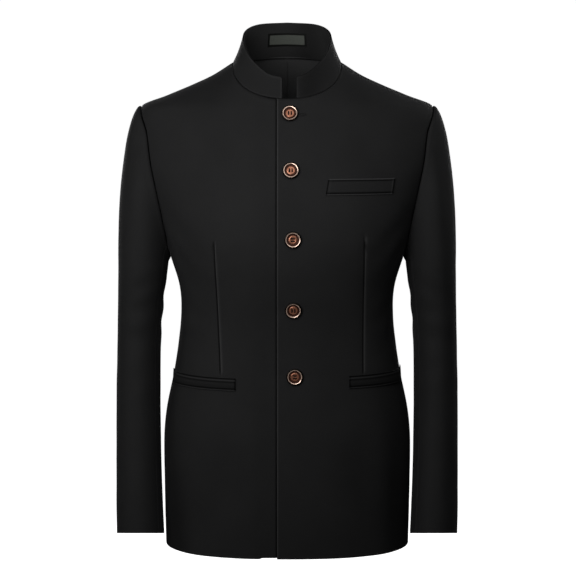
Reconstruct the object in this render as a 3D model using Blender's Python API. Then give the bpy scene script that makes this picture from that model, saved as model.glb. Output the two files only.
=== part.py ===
"""A tailored jacket with a stand collar, hollow and filled out as if worn, with no wearer.

Metres, +Z up. The front faces -Y and the wearer's left is +X. The origin lies midway between the two
points where the shoulder seams meet the collar. Angles are in degrees, round the body from the centre
front by the wearer's side to the centre back, and the same on both sides.
"""
import math

import bmesh
import bpy
from mathutils import Vector

# Cloth and seams
WALL = 0.0020
COLLAR_WALL = 0.0014
SEAM_GAP = 0.0003
LYING_GAP = 0.0003
# Spare added to a gap where two pieces are made of different grids or bend away from each other
GAP_SPARE = 0.0001
SEAM_SPARE = 0.00002
SHARP_ANGLE = 40.0

# Sections of the body, from the back of the neck down to the hem. Front and back are the depths
# before and behind the side line, and square is 2 for an ellipse and more for a flatter front.
SECTION_COLUMNS = ("level", "half_width", "front", "back", "square")
SECTIONS = [
    (0.014, 0.0590, 0.055, 0.057, 2.00),
    (0.003, 0.0785, 0.060, 0.062, 2.00),
    (-0.015, 0.1070, 0.067, 0.071, 2.02),
    (-0.029, 0.1372, 0.073, 0.079, 2.05),
    (-0.044, 0.1738, 0.080, 0.087, 2.10),
    (-0.0595, 0.2108, 0.087, 0.094, 2.20),
    (-0.100, 0.2165, 0.104, 0.107, 2.30),
    (-0.137, 0.2135, 0.117, 0.116, 2.38),
    (-0.180, 0.2005, 0.129, 0.123, 2.44),
    (-0.240, 0.1805, 0.137, 0.125, 2.48),
    (-0.279, 0.1690, 0.136, 0.121, 2.48),
    (-0.320, 0.1572, 0.129, 0.112, 2.44),
    (-0.358, 0.1548, 0.122, 0.107, 2.42),
    (-0.400, 0.1585, 0.118, 0.108, 2.42),
    (-0.450, 0.1665, 0.118, 0.114, 2.44),
    (-0.500, 0.1768, 0.121, 0.122, 2.46),
    (-0.540, 0.1808, 0.124, 0.127, 2.46),
    (-0.610, 0.1806, 0.126, 0.130, 2.46),
    (-0.702, 0.1795, 0.127, 0.129, 2.46),
]
HEM_LEVEL = -0.702

# Neck seam: half its width, its drop at the front, its rise at the back and how square it is
NECK_LEVEL = 0.003
NECK_HALF_WIDTH = 0.0785
NECK_DROP = 0.0495
NECK_RISE = 0.009
NECK_SQUARE = 2.25

# Armhole seam, an oval seen from the side. Its angle is 0 under the arm, 90 at the front and 180 at
# the shoulder, and minus those behind.
ARMHOLE_BOTTOM = -0.2785
ARMHOLE_TOP = -0.0595
ARMHOLE_FRONT = 0.060
ARMHOLE_BACK = 0.066
ARC_FRONT_SEAM = 12.0
ARC_BACK_SEAM = -50.0
SEARCH_STEPS = 30
FRONT_ARC_STEPS = 14
UNDER_ARC_STEPS = 4
BACK_ARC_STEPS = 11

# Side seams at the hem, and how late their lines and the columns beside them bend near the armhole
FRONT_SEAM_HEM_ANGLE = 85.0
BACK_SEAM_HEM_ANGLE = 118.0
SEAM_BEND = 2
BULGE_BEND = 2
SIDE_TOP_BEND = 4

# Front opening: the left front laps over the right one
EDGE_LAP = 0.0146
LAP_INNER = 0.018
LAP_OUTER = 0.036
LAP_COLUMNS = 2
UNDER_FRONT_SHORTER = 0.0015

# Waist darts: how far from the middle, and at which level, each begins and ends
DART_COLUMNS = ("side", "top_out", "top_level", "bottom_out", "bottom_level")
DARTS = [
    ("left", 0.1097, -0.235, 0.1086, -0.437),
    ("right", 0.1039, -0.245, 0.0953, -0.437),
]
DART_DEPTH = 0.0009
DART_TAPER = 5
DART_LINE_LOW = -0.5
DART_LINE_HIGH = 1.2

# Rows and columns of the panels
LOWER_ROWS = 15
COLUMNS_TO_DART = 5
COLUMNS_FROM_DART = 8
NECK_COLUMNS_FRONT = 7
SHOULDER_COLUMNS = 8
NECK_COLUMNS_BACK = 5
SIDE_COLUMNS = 4

# Sleeve below its head: a ring for each row, at its centre's level. Inner and outer are its reach
# from the middle of the jacket, centre its place along Y, depth half its size along Y, and swing how
# far the ring tips as the forearm comes forward.
SLEEVE_COLUMNS = ("level", "inner", "outer", "centre", "depth", "swing")
SLEEVE = [
    (-0.290, 0.1740, 0.2466, 0.000, 0.0710, 0.0),
    (-0.340, 0.1808, 0.2482, 0.002, 0.0690, 0.5),
    (-0.385, 0.1848, 0.2492, 0.001, 0.0670, 3.0),
    (-0.430, 0.1862, 0.2497, -0.003, 0.0650, 6.0),
    (-0.490, 0.1862, 0.2498, -0.014, 0.0620, 9.5),
    (-0.540, 0.1852, 0.2498, -0.025, 0.0600, 11.5),
    (-0.580, 0.1843, 0.2496, -0.033, 0.0585, 12.5),
    (-0.640, 0.1816, 0.2490, -0.046, 0.0560, 12.8),
    (-0.680, 0.1793, 0.2482, -0.055, 0.0545, 12.8),
]
SLEEVE_SQUARE = 2.25
CAP_ROWS = 7
SLEEVE_ROWS = 9
SLEEVE_FRONT_SEAM_STEP = 2
SLEEVE_BACK_SEAM_STEP = 1
CAP_REACH = 0.0195
CAP_LIFT = 0.15
CAP_FORWARD = 0.22
CAP_DROP = 0.52
CAP_UNDER_DROP = 1.3
CAP_UNDER_REACH = 0.0025
CAP_LIFT_BEND = 0.6
CAP_ROW_BEND = 1.2

# Collar: its top edge above the neck seam, with its height at angles round the neck
COLLAR_COLUMNS = ("round", "height")
COLLAR_TOP = [
    (0.0, -0.0165),
    (20.0, -0.0120),
    (37.0, -0.0005),
    (55.0, 0.0130),
    (80.0, 0.0340),
    (105.0, 0.0475),
    (140.0, 0.0580),
    (180.0, 0.0610),
]
COLLAR_TOP_HALF_WIDTH = 0.0642
COLLAR_TOP_FRONT = 0.0690
COLLAR_TOP_BACK = 0.0500
COLLAR_END_LEFT = 0.0128
COLLAR_END_RIGHT = -0.0066
COLLAR_SEAT = 0.0009
COLLAR_INNER_START = 0.055
COLLAR_BOW = -0.0014
COLLAR_ROWS = 4

# Lining that shows through the neck, and the bare label on the inner collar
LINING_ROWS = 8
LINING_COLUMNS = 6
LINING_WALL = 0.0010
LABEL_HALF_WIDTH = 0.0300
LABEL_BOTTOM = 0.29
LABEL_HEIGHT = 0.40
LABEL_WALL = 0.0010
LABEL_ROWS = 2

# Pocket welts: distance from the middle and level of each corner of the strip
WELT_COLUMNS = ("name", "side", "front_out", "back_out", "top", "bottom", "slant")
WELTS = [
    ("chest_welt", "left", 0.0576, 0.1525, -0.1580, -0.1805, 0.0037),
    ("pocket_welt_left", "left", 0.0880, 0.1648, -0.4395, -0.4575, 0.0),
    ("pocket_welt_right", "right", 0.0730, 0.1648, -0.4425, -0.4605, 0.0),
]
WELT_WALL = 0.0014
WELT_STEP = 0.008
WELT_ROUNDING = 1.3
WELT_ROWS = 3

# Buttons: distance from the middle and level of each
BUTTON_COLUMNS = ("out", "level")
BUTTONS = [
    (0.0040, -0.0676),
    (0.0053, -0.1463),
    (0.0081, -0.2421),
    (0.0088, -0.3428),
    (0.0109, -0.4392),
]
BUTTON_LIFT = 0.0006
BUTTON_SIDES = 20
# A button's outline, from its back to the middle of its front: radius and height
BUTTON_PROFILE = [
    (0.0090, 0.0000),
    (0.0114, 0.0006),
    (0.0121, 0.0018),
    (0.0116, 0.0031),
    (0.0103, 0.0037),
    (0.0090, 0.0033),
    (0.0079, 0.0020),
    (0.0064, 0.0019),
    (0.0056, 0.0025),
]
BUTTON_HOLE_RADIUS = 0.00105
BUTTON_HOLE_OUT = 0.0022
BUTTON_HOLE_SIDES = 6
PIN_LENGTH = 0.008
PIN_MIDDLE = 0.0015

# Steps along each face, from which its normals are taken
BODY_STEPS = (1.0, 0.002)
SLEEVE_STEPS = (3.0, 0.015)
COLLAR_STEPS = (1.0, 0.02)

# Finishes: colour, roughness and metallic value
CLOTH = ((0.014, 0.014, 0.015), 0.62, 0.0)
INNER_CLOTH = ((0.020, 0.020, 0.021), 0.45, 0.0)
LABEL_CLOTH = ((0.036, 0.039, 0.034), 0.70, 0.0)
COPPER = ((0.62, 0.27, 0.15), 0.32, 0.9)


def lerp(a, b, t):
    return a + (b - a) * t


def signed_power(value, power):
    return math.copysign(abs(value) ** power, value)


def named_rows(table, columns):
    return [dict(zip(columns, row)) for row in table]


def table_value(table, columns, name, at):
    """A column's value on a smooth curve through a table's rows, ordered by their first column."""
    column = columns.index(name)
    keys = [row[0] for row in table]
    values = [row[column] for row in table]
    if keys[0] > keys[-1]:
        keys.reverse()
        values.reverse()
    at = min(max(at, keys[0]), keys[-1])
    k = 0
    while k < len(keys) - 2 and at > keys[k + 1]:
        k += 1
    slopes = []
    for i in (k, k + 1):
        low = max(i - 1, 0)
        high = min(i + 1, len(keys) - 1)
        slopes.append((values[high] - values[low]) / (keys[high] - keys[low]))
    span = keys[k + 1] - keys[k]
    t = (at - keys[k]) / span
    return (
        values[k] * (2 * t**3 - 3 * t**2 + 1)
        + slopes[0] * span * (t**3 - 2 * t**2 + t)
        + values[k + 1] * (3 * t**2 - 2 * t**3)
        + slopes[1] * span * (t**3 - t**2)
    )


def section(level):
    return [table_value(SECTIONS, SECTION_COLUMNS, name, level) for name in SECTION_COLUMNS[1:]]


def body_point(angle, level):
    """A point of the body's outer face, on the wearer's left."""
    half_width, front, back, square = section(level)
    turn = math.radians(angle)
    depth = front if math.cos(turn) > 0 else back
    x = half_width * signed_power(math.sin(turn), 2 / square)
    y = -depth * signed_power(math.cos(turn), 2 / square)
    return Vector((x, y, level))


def normal_of(surface, u, v, steps):
    step_u, step_v = steps
    along_u = surface(u + step_u, v) - surface(u - step_u, v)
    along_v = surface(u, v + step_v) - surface(u, v - step_v)
    return along_u.cross(along_v).normalized()


def body_normal(angle, level):
    return normal_of(body_point, angle, level, BODY_STEPS)


def angle_at(out, level, behind=False):
    """The angle at which the body's face lies at this distance from its middle."""
    half_width, _, _, square = section(level)
    ratio = min(abs(out) / half_width, 1.0)
    angle = math.degrees(math.asin(ratio ** (square / 2)))
    if behind:
        return 180.0 - math.copysign(angle, out)
    return math.copysign(angle, out)


def neck_place(turn):
    """Angle and level of the neck seam, at an angle round the neck from the centre front."""
    t = math.radians(turn)
    if turn <= 90.0:
        out = NECK_HALF_WIDTH * signed_power(math.sin(t), 2 / NECK_SQUARE)
        level = NECK_LEVEL - NECK_DROP * math.cos(t) ** (2 / NECK_SQUARE)
        return angle_at(out, level), level
    level = NECK_LEVEL + NECK_RISE * math.cos(t) ** 2
    return angle_at(NECK_HALF_WIDTH * math.sin(t), level, behind=True), level


def neck_turn(out):
    """The angle round the neck seam at this distance from its middle."""
    return math.degrees(math.asin(signed_power(out / NECK_HALF_WIDTH, NECK_SQUARE / 2)))


def shoulder_place(t):
    """Angle and level along the shoulder seam, from the neck to the armhole."""
    out = lerp(NECK_HALF_WIDTH, section(ARMHOLE_TOP)[0], t)
    low, high = ARMHOLE_TOP, NECK_LEVEL
    for _ in range(SEARCH_STEPS):
        middle = (low + high) / 2
        if section(middle)[0] > out:
            low = middle
        else:
            high = middle
    return 90.0, (low + high) / 2


def armhole_place(arc):
    """Angle and level of the armhole seam, at an angle round it."""
    a = math.radians(arc)
    level = lerp(ARMHOLE_BOTTOM, ARMHOLE_TOP, (1 - math.cos(a)) / 2)
    _, front, back, square = section(level)
    if arc >= 0:
        ratio = ARMHOLE_FRONT * abs(math.sin(a)) / front
        return math.degrees(math.acos(ratio ** (square / 2))), level
    ratio = ARMHOLE_BACK * abs(math.sin(a)) / back
    return 180.0 - math.degrees(math.acos(ratio ** (square / 2))), level


def arc_steps(start, end, steps):
    return [lerp(start, end, i / steps) for i in range(steps + 1)]


FRONT_ARC = arc_steps(ARC_FRONT_SEAM, 180.0, FRONT_ARC_STEPS)
UNDER_ARC = arc_steps(ARC_FRONT_SEAM, ARC_BACK_SEAM, UNDER_ARC_STEPS)
BACK_ARC = arc_steps(ARC_BACK_SEAM, -180.0, BACK_ARC_STEPS)


def seam_angle(arc, hem_angle, level):
    """Angle of a side seam at a level, between its ends at the armhole and the hem."""
    top_angle, top_level = armhole_place(arc)
    t = (level - HEM_LEVEL) / (top_level - HEM_LEVEL)
    return lerp(hem_angle, top_angle, min(max(t, 0.0), 1.0) ** SEAM_BEND)


def front_seam_angle(level):
    return seam_angle(ARC_FRONT_SEAM, FRONT_SEAM_HEM_ANGLE, level)


def back_seam_angle(level):
    return seam_angle(ARC_BACK_SEAM, BACK_SEAM_HEM_ANGLE, level)


def dart_share(side, level):
    """A front's dart, and how far up it a level lies: 0 at its bottom and 1 at its top."""
    dart = next(row for row in named_rows(DARTS, DART_COLUMNS) if row["side"] == side)
    return dart, (level - dart["bottom_level"]) / (dart["top_level"] - dart["bottom_level"])


def dart_line(side, level):
    """How far from the middle a front's dart line lies at a level, carried on past its ends."""
    dart, t = dart_share(side, level)
    t = min(max(t, DART_LINE_LOW), DART_LINE_HIGH)
    return lerp(dart["bottom_out"], dart["top_out"], t)


def dart_sink(side, level):
    """How far the cloth is drawn in along a dart, nothing at its two ends."""
    t = dart_share(side, level)[1]
    if t <= 0.0 or t >= 1.0:
        return 0.0
    return DART_DEPTH * min(1.0, DART_TAPER * (1 - t))


def make_object(name, mesh_data, finish):
    vertices, faces = mesh_data
    mesh = bpy.data.meshes.new(name)
    mesh.from_pydata([tuple(v) for v in vertices], [], faces)
    mesh.materials.append(material(name, finish))
    mesh.shade_smooth()
    mesh.set_sharp_from_angle(angle=math.radians(SHARP_ANGLE))
    piece = bpy.data.objects.new(name, mesh)
    bpy.context.collection.objects.link(piece)
    return piece


def material(name, finish):
    colour, roughness, metallic = finish
    made = bpy.data.materials.new(name)
    made.use_nodes = True
    shader = made.node_tree.nodes["Principled BSDF"]
    shader.inputs["Base Color"].default_value = (*colour, 1.0)
    shader.inputs["Roughness"].default_value = roughness
    shader.inputs["Metallic"].default_value = metallic
    made.diffuse_color = (*colour, 1.0)
    return made


def inset_border(points, gap):
    """Draws the border of a grid of points in along the grid, which leaves half a gap at a seam."""
    rows, columns = len(points), len(points[0])
    moved = [[p.copy() for p in row] for row in points]
    for j in range(rows):
        for i, inner in ((0, 1), (columns - 1, columns - 2)):
            moved[j][i] += (points[j][inner] - points[j][i]).normalized() * gap
    for i in range(columns):
        for j, inner in ((0, 1), (rows - 1, rows - 2)):
            moved[j][i] += (points[inner][i] - points[j][i]).normalized() * gap
    return moved


def shell(name, points, normals, wall, finish, flip=False, lift=0.0, gap=SEAM_GAP / 2 + SEAM_SPARE):
    """A closed wall of cloth: a grid of outer points, the same drawn in by the wall, and its edges."""
    points = inset_border(points, gap)
    rows, columns = len(points), len(points[0])
    flat_points = [p for row in points for p in row]
    flat_normals = [n for row in normals for n in row]
    outer = [p + n * lift for p, n in zip(flat_points, flat_normals)]
    inner = [p + n * (lift - wall) for p, n in zip(flat_points, flat_normals)]
    count = rows * columns
    faces = []
    for j in range(rows - 1):
        for i in range(columns - 1):
            a, b, c, d = points[j][i], points[j][i + 1], points[j + 1][i + 1], points[j + 1][i]
            k = j * columns + i
            corners = (k, k + 1, k + 1 + columns, k + columns)
            halves = ((0, 1, 3), (1, 2, 3))
            if (a - c).length < (b - d).length:
                halves = ((0, 1, 2), (0, 2, 3))
            for half in halves:
                face = tuple(corners[n] for n in half)
                faces.append(face)
                faces.append(tuple(count + n for n in reversed(face)))
    ring = list(range(columns))
    ring += [j * columns + columns - 1 for j in range(1, rows)]
    ring += [(rows - 1) * columns + i for i in range(columns - 2, -1, -1)]
    ring += [j * columns for j in range(rows - 2, 0, -1)]
    for k, a in enumerate(ring):
        b = ring[(k + 1) % len(ring)]
        faces.append((b, a, a + count, b + count))
    if flip:
        faces = [tuple(reversed(f)) for f in faces]
    return make_object(name, (outer + inner, faces), finish)


def mirrored(points):
    return [[Vector((-p.x, p.y, p.z)) for p in row] for row in points]


def panel(name, places, side, finish, sink=None):
    """A wall on the body's face, from a grid of angles and levels. Sink draws points inwards."""
    points = []
    normals = []
    for row in places:
        row_normals = [body_normal(angle, level) for angle, level in row]
        row_points = [body_point(angle, level) for angle, level in row]
        if sink:
            for i, (angle, level) in enumerate(row):
                row_points[i] -= row_normals[i] * sink(i, level)
        points.append(row_points)
        normals.append(row_normals)
    if side == "right":
        points = mirrored(points)
        normals = mirrored(normals)
    return shell(name, points, normals, WALL, finish, flip=side == "right")


def front_columns_low(side, level):
    """Angles across a front at a level below the armhole."""
    lead = [angle_at(out, level) for out in (-EDGE_LAP, LAP_INNER)]
    first = angle_at(LAP_OUTER, level)
    dart = angle_at(dart_line(side, level), level)
    seam = front_seam_angle(level)
    to_dart = [lerp(first, dart, i / COLUMNS_TO_DART) for i in range(COLUMNS_TO_DART)]
    from_dart = [lerp(dart, seam, i / COLUMNS_FROM_DART) for i in range(COLUMNS_FROM_DART + 1)]
    return lead + to_dart + from_dart


def front_neck_turns():
    """Angles round the neck at which a front's columns end, from its edge to the shoulder."""
    lead = [neck_turn(out) for out in (-EDGE_LAP, LAP_INNER, LAP_OUTER)]
    rest = NECK_COLUMNS_FRONT - LAP_COLUMNS
    return lead + [lerp(lead[-1], 90.0, i / rest) for i in range(1, rest + 1)]


def back_neck_turns():
    return arc_steps(180.0, 90.0, NECK_COLUMNS_BACK)


def front_top():
    """Angle and level of each column's end at the neck seam and the shoulder seam."""
    neck = []
    for turn in front_neck_turns():
        angle, level = neck_place(abs(turn))
        neck.append((math.copysign(angle, turn), level))
    shoulder = [shoulder_place(i / SHOULDER_COLUMNS) for i in range(1, SHOULDER_COLUMNS + 1)]
    return neck + shoulder


def back_top():
    neck = [neck_place(turn) for turn in back_neck_turns()]
    shoulder = [shoulder_place(i / SHOULDER_COLUMNS) for i in range(1, SHOULDER_COLUMNS + 1)]
    return neck + shoulder


def upper_rows(low_angles, low_level, top, arcs, behind):
    """Rows of a front or back beside the armhole, whose last column follows the armhole seam."""
    low_out = [body_point(angle, low_level).x for angle in low_angles]
    top_out = [body_point(angle, level).x for angle, level in top]
    last = len(low_angles) - 1
    rows = []
    for arc in arcs[1:]:
        edge_angle, edge_level = armhole_place(arc)
        edge_out = body_point(edge_angle, edge_level).x
        t = (edge_level - low_level) / (ARMHOLE_TOP - low_level)
        bulge = edge_out - lerp(low_out[last], top_out[last], t)
        row = []
        for i in range(last + 1):
            if arc == arcs[-1]:
                row.append(top[i])
                continue
            level = lerp(low_level, top[i][1], t)
            out = lerp(low_out[i], top_out[i], t) + bulge * (i / last) ** BULGE_BEND
            row.append((angle_at(out, level, behind), level))
        row[last] = (edge_angle, edge_level)
        rows.append(row)
    return rows


def front_places(side):
    corner_level = armhole_place(ARC_FRONT_SEAM)[1]
    levels = [lerp(HEM_LEVEL, corner_level, j / LOWER_ROWS) for j in range(LOWER_ROWS + 1)]
    rows = [[(angle, level) for angle in front_columns_low(side, level)] for level in levels]
    if side == "right":
        for i in range(LAP_COLUMNS + 1):
            rows[0][i] = (rows[0][i][0], HEM_LEVEL + UNDER_FRONT_SHORTER)
    low_angles = [angle for angle, _ in rows[-1]]
    return rows + upper_rows(low_angles, corner_level, front_top(), FRONT_ARC, behind=False)


def make_front(side):
    dart_column = LAP_COLUMNS + COLUMNS_TO_DART
    lap_sink = WALL + LYING_GAP + GAP_SPARE if side == "right" else 0.0

    def sink(column, level):
        if column < LAP_COLUMNS:
            return lap_sink
        if column == dart_column:
            return dart_sink(side, level)
        return 0.0

    panel("front_" + side, front_places(side), side, CLOTH, sink)


def back_places():
    corner_level = armhole_place(ARC_BACK_SEAM)[1]
    columns = NECK_COLUMNS_BACK + SHOULDER_COLUMNS
    rows = []
    for j in range(LOWER_ROWS + 1):
        level = lerp(HEM_LEVEL, corner_level, j / LOWER_ROWS)
        seam = back_seam_angle(level)
        rows.append([(lerp(180.0, seam, i / columns), level) for i in range(columns + 1)])
    low_angles = [angle for angle, _ in rows[-1]]
    return rows + upper_rows(low_angles, corner_level, back_top(), BACK_ARC, behind=True)


def make_back(side):
    places = [list(reversed(row)) for row in back_places()]
    panel("back_" + side, places, side, CLOTH)


def make_side(side):
    """The narrow panel under the arm, whose top edge is the lowest stretch of the armhole."""
    top = [armhole_place(arc) for arc in UNDER_ARC]
    rows = []
    for j in range(LOWER_ROWS + 1):
        t = j / LOWER_ROWS
        row = []
        for i, (top_angle, top_level) in enumerate(top):
            level = lerp(HEM_LEVEL, top_level, t)
            start, end = front_seam_angle(level), back_seam_angle(level)
            top_start, top_end = front_seam_angle(top_level), back_seam_angle(top_level)
            top_share = (top_angle - top_start) / (top_end - top_start)
            share = lerp(i / SIDE_COLUMNS, top_share, t**SIDE_TOP_BEND)
            if i in (0, SIDE_COLUMNS):
                share = i / SIDE_COLUMNS
            row.append((lerp(start, end, share), level))
        rows.append(row)
    rows[-1] = top
    panel("side_" + side, rows, side, CLOTH)


def sleeve_ring(arc, level):
    """A point of the sleeve's tube below its head, at an angle as on the armhole."""
    inner, outer, centre, depth, swing = [
        table_value(SLEEVE, SLEEVE_COLUMNS, name, level) for name in SLEEVE_COLUMNS[1:]
    ]
    a = math.radians(arc)
    power = 2 / SLEEVE_SQUARE
    x = (inner + outer) / 2 - (outer - inner) / 2 * signed_power(math.cos(a), power)
    across = -depth * signed_power(math.sin(a), power)
    tip = math.radians(swing)
    return Vector((x, centre + across * math.cos(tip), level - across * math.sin(tip)))


def sleeve_point(arc, along):
    """A point of the sleeve: along is 0 at the armhole, 1 at the end of its head and 2 at the cuff."""
    if along > 1.0:
        return sleeve_ring(arc, lerp(SLEEVE[0][0], SLEEVE[-1][0], along - 1.0))
    wrapped = (arc + 180.0) % 360.0 - 180.0
    a = math.radians(wrapped)
    start = body_point(*armhole_place(wrapped))
    end = sleeve_ring(wrapped, SLEEVE[0][0])
    raised = (1 - math.cos(a)) / 2
    leave = Vector((1.0, -CAP_FORWARD * math.sin(a), lerp(-CAP_UNDER_DROP, CAP_LIFT, raised**CAP_LIFT_BEND)))
    leave.normalize()
    start += leave * (SEAM_GAP + GAP_SPARE)
    reach = lerp(CAP_UNDER_REACH, CAP_REACH, raised)
    drop = Vector((0.0, 0.0, CAP_DROP * (start.z - end.z)))
    t = along
    return (
        start * (1 - t) ** 3
        + (start + leave * reach) * 3 * t * (1 - t) ** 2
        + (end + drop) * 3 * t**2 * (1 - t)
        + end * t**3
    )


def sleeve_normal(arc, along):
    along = max(along, SLEEVE_STEPS[1])
    return -normal_of(sleeve_point, arc, along, SLEEVE_STEPS)


def make_sleeve(side):
    """The two pieces of a sleeve, split at its front seam and its back seam."""
    alongs = [(i / CAP_ROWS) ** CAP_ROW_BEND for i in range(CAP_ROWS)]
    alongs += [1.0 + i / SLEEVE_ROWS for i in range(SLEEVE_ROWS + 1)]
    under = [BACK_ARC[k] for k in range(SLEEVE_BACK_SEAM_STEP, 0, -1)]
    under += list(reversed(UNDER_ARC))
    under += FRONT_ARC[1:SLEEVE_FRONT_SEAM_STEP + 1]
    top = FRONT_ARC[SLEEVE_FRONT_SEAM_STEP:]
    top += [arc + 360.0 for arc in reversed(BACK_ARC[SLEEVE_BACK_SEAM_STEP:-1])]
    for name, arcs in (("under_sleeve_", under), ("top_sleeve_", top)):
        points = [[sleeve_point(arc, along) for arc in arcs] for along in alongs]
        normals = [[sleeve_normal(arc, along) for arc in arcs] for along in alongs]
        if side == "right":
            points = mirrored(points)
            normals = mirrored(normals)
        shell(name + side, points, normals, WALL, CLOTH, flip=side == "left")


def collar_point(turn, up):
    """A point of the collar's outer face: turn runs from the centre front by the left to the back,
    and on to 360 by the right. Up is 0 at the neck seam and 1 at the top edge."""
    half_turn = turn if turn <= 180.0 else 360.0 - turn
    t = math.radians(half_turn)
    angle, level = neck_place(half_turn)
    base = body_point(angle, level)
    depth = COLLAR_TOP_FRONT if half_turn < 90.0 else COLLAR_TOP_BACK
    power = 2 / NECK_SQUARE
    top = Vector((
        COLLAR_TOP_HALF_WIDTH * math.sin(t) ** power,
        -depth * signed_power(math.cos(t), power),
        table_value(COLLAR_TOP, COLLAR_COLUMNS, "height", half_turn),
    ))
    rise = top - base
    start = base + rise.normalized() * COLLAR_SEAT
    out = Vector((base.x, base.y, 0.0)).normalized()
    point = start.lerp(top, up) + out * COLLAR_BOW * 4 * up * (1 - up)
    if turn > 180.0:
        point.x = -point.x
    return point


def collar_normal(turn, up):
    spare = COLLAR_STEPS[1]
    return normal_of(collar_point, turn, min(max(up, spare), 1.0 - spare), COLLAR_STEPS)


def collar_grid(first_up):
    """Angles round the neck for each row of the collar, whose two ends stand upright. Its columns
    stand on those of the fronts and the backs."""
    half = front_neck_turns()[1:-1] + list(reversed(back_neck_turns()))
    turns = half + [360.0 - turn for turn in reversed(half[:-1])]
    rows = []
    for j in range(COLLAR_ROWS + 1):
        up = lerp(first_up, 1.0, j / COLLAR_ROWS)
        half_width = lerp(NECK_HALF_WIDTH, COLLAR_TOP_HALF_WIDTH, up)
        power = NECK_SQUARE / 2
        first = math.degrees(math.asin((COLLAR_END_LEFT / half_width) ** power))
        last = 360.0 - math.degrees(math.asin((-COLLAR_END_RIGHT / half_width) ** power))
        rows.append([(turn, up) for turn in [first] + turns + [last]])
    return rows


def make_collar():
    for name, first_up, lift in (
        ("collar_outer", 0.0, 0.0),
        ("collar_inner", COLLAR_INNER_START, -(COLLAR_WALL + LYING_GAP)),
    ):
        rows = collar_grid(first_up)
        points = [[collar_point(*place) for place in row] for row in rows]
        normals = [[collar_normal(*place) for place in row] for row in rows]
        shell(name, points, normals, COLLAR_WALL, CLOTH, lift=lift)


def make_label():
    """The bare label on the inner collar at the back of the neck. It lies flat on the same faces."""
    middle, near, far = back_neck_turns()[:3]
    points = []
    normals = []
    for j in range(LABEL_ROWS + 1):
        up = LABEL_BOTTOM + LABEL_HEIGHT * j / LABEL_ROWS
        near_point, far_point = collar_point(near, up), collar_point(far, up)
        share = (LABEL_HALF_WIDTH - near_point.x) / (far_point.x - near_point.x)
        near_normal = collar_normal(near, up)
        end = (near_point.lerp(far_point, share), near_normal.lerp(collar_normal(far, up), share))
        left = [end, (near_point, near_normal)]
        centre = [(collar_point(middle, up), Vector((0.0, *collar_normal(middle, up).yz)))]
        right = [(Vector((-p.x, p.y, p.z)), Vector((-n.x, n.y, n.z))) for p, n in reversed(left)]
        points.append([p for p, _ in left + centre + right])
        normals.append([n for _, n in left + centre + right])
    inward = -(2 * COLLAR_WALL + 2 * LYING_GAP + GAP_SPARE)
    shell("neck_label", points, normals, LABEL_WALL, LABEL_CLOTH, lift=inward, gap=0.0)


def make_lining():
    """The lining inside the top of the back, as far down as it shows through the neck."""
    points = []
    normals = []
    for row in back_places()[-LINING_ROWS:]:
        left = [(body_point(*place), body_normal(*place)) for place in reversed(row[:LINING_COLUMNS + 1])]
        centre_normal = left[-1][1]
        centre_normal.x = 0.0
        centre_normal.normalize()
        right = [(Vector((-p.x, p.y, p.z)), Vector((-n.x, n.y, n.z))) for p, n in reversed(left[:-1])]
        points.append([p for p, _ in left + right])
        normals.append([n for _, n in left + right])
    shell("back_lining", points, normals, LINING_WALL, INNER_CLOTH, lift=-(WALL + LYING_GAP))


def make_welt(welt):
    """A pocket welt: a strip lying on a front, made from the body's face and moved out."""
    top = welt["top"]
    steps = math.ceil((welt["back_out"] - welt["front_out"]) * WELT_ROUNDING / WELT_STEP)
    start, end = angle_at(welt["front_out"], top), angle_at(welt["back_out"], top)
    rows = []
    for j in range(WELT_ROWS + 1):
        t = j / WELT_ROWS
        level = lerp(welt["bottom"], top, t)
        row = []
        for i in range(steps + 1):
            out = body_point(lerp(start, end, i / steps), top).x - welt["slant"] * (1 - t)
            row.append((angle_at(out, level), level))
        rows.append(row)
    points = [[body_point(*place) for place in row] for row in rows]
    normals = [[body_normal(*place) for place in row] for row in rows]
    right = welt["side"] == "right"
    if right:
        points = mirrored(points)
        normals = mirrored(normals)
    lift = LYING_GAP + 2 * GAP_SPARE + WELT_WALL
    shell(welt["name"], points, normals, WELT_WALL, CLOTH, flip=right, lift=lift, gap=0.0)


def make_button_mesh():
    """A turned disc with a raised rim, a ring sunk inside it and a flat middle, pierced by four holes."""
    bm = bmesh.new()
    rings = []
    for radius, height in BUTTON_PROFILE:
        ring = []
        for k in range(BUTTON_SIDES):
            a = 2 * math.pi * k / BUTTON_SIDES
            ring.append(bm.verts.new((radius * math.cos(a), radius * math.sin(a), height)))
        rings.append(ring)
    for low, high in zip(rings, rings[1:]):
        for k in range(BUTTON_SIDES):
            n = (k + 1) % BUTTON_SIDES
            bm.faces.new((low[k], low[n], high[n], high[k]))
    bm.faces.new(list(reversed(rings[0])))
    bm.faces.new(rings[-1])
    mesh = bpy.data.meshes.new("button")
    bm.to_mesh(mesh)
    bm.free()
    return mesh


def make_hole_cutter():
    """Four upright pins, which pierce a button's thread holes."""
    bm = bmesh.new()
    for k in range(4):
        a = math.pi / 4 + k * math.pi / 2
        place = Vector((BUTTON_HOLE_OUT * math.cos(a), BUTTON_HOLE_OUT * math.sin(a), PIN_MIDDLE))
        made = bmesh.ops.create_cone(
            bm,
            cap_ends=True,
            segments=BUTTON_HOLE_SIDES,
            radius1=BUTTON_HOLE_RADIUS,
            radius2=BUTTON_HOLE_RADIUS,
            depth=PIN_LENGTH,
        )
        bmesh.ops.translate(bm, verts=made["verts"], vec=place)
    mesh = bpy.data.meshes.new("thread_holes")
    bm.to_mesh(mesh)
    bm.free()
    cutter = bpy.data.objects.new("thread_holes", mesh)
    bpy.context.collection.objects.link(cutter)
    cutter.hide_render = True
    cutter.display_type = "WIRE"
    return cutter


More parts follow.
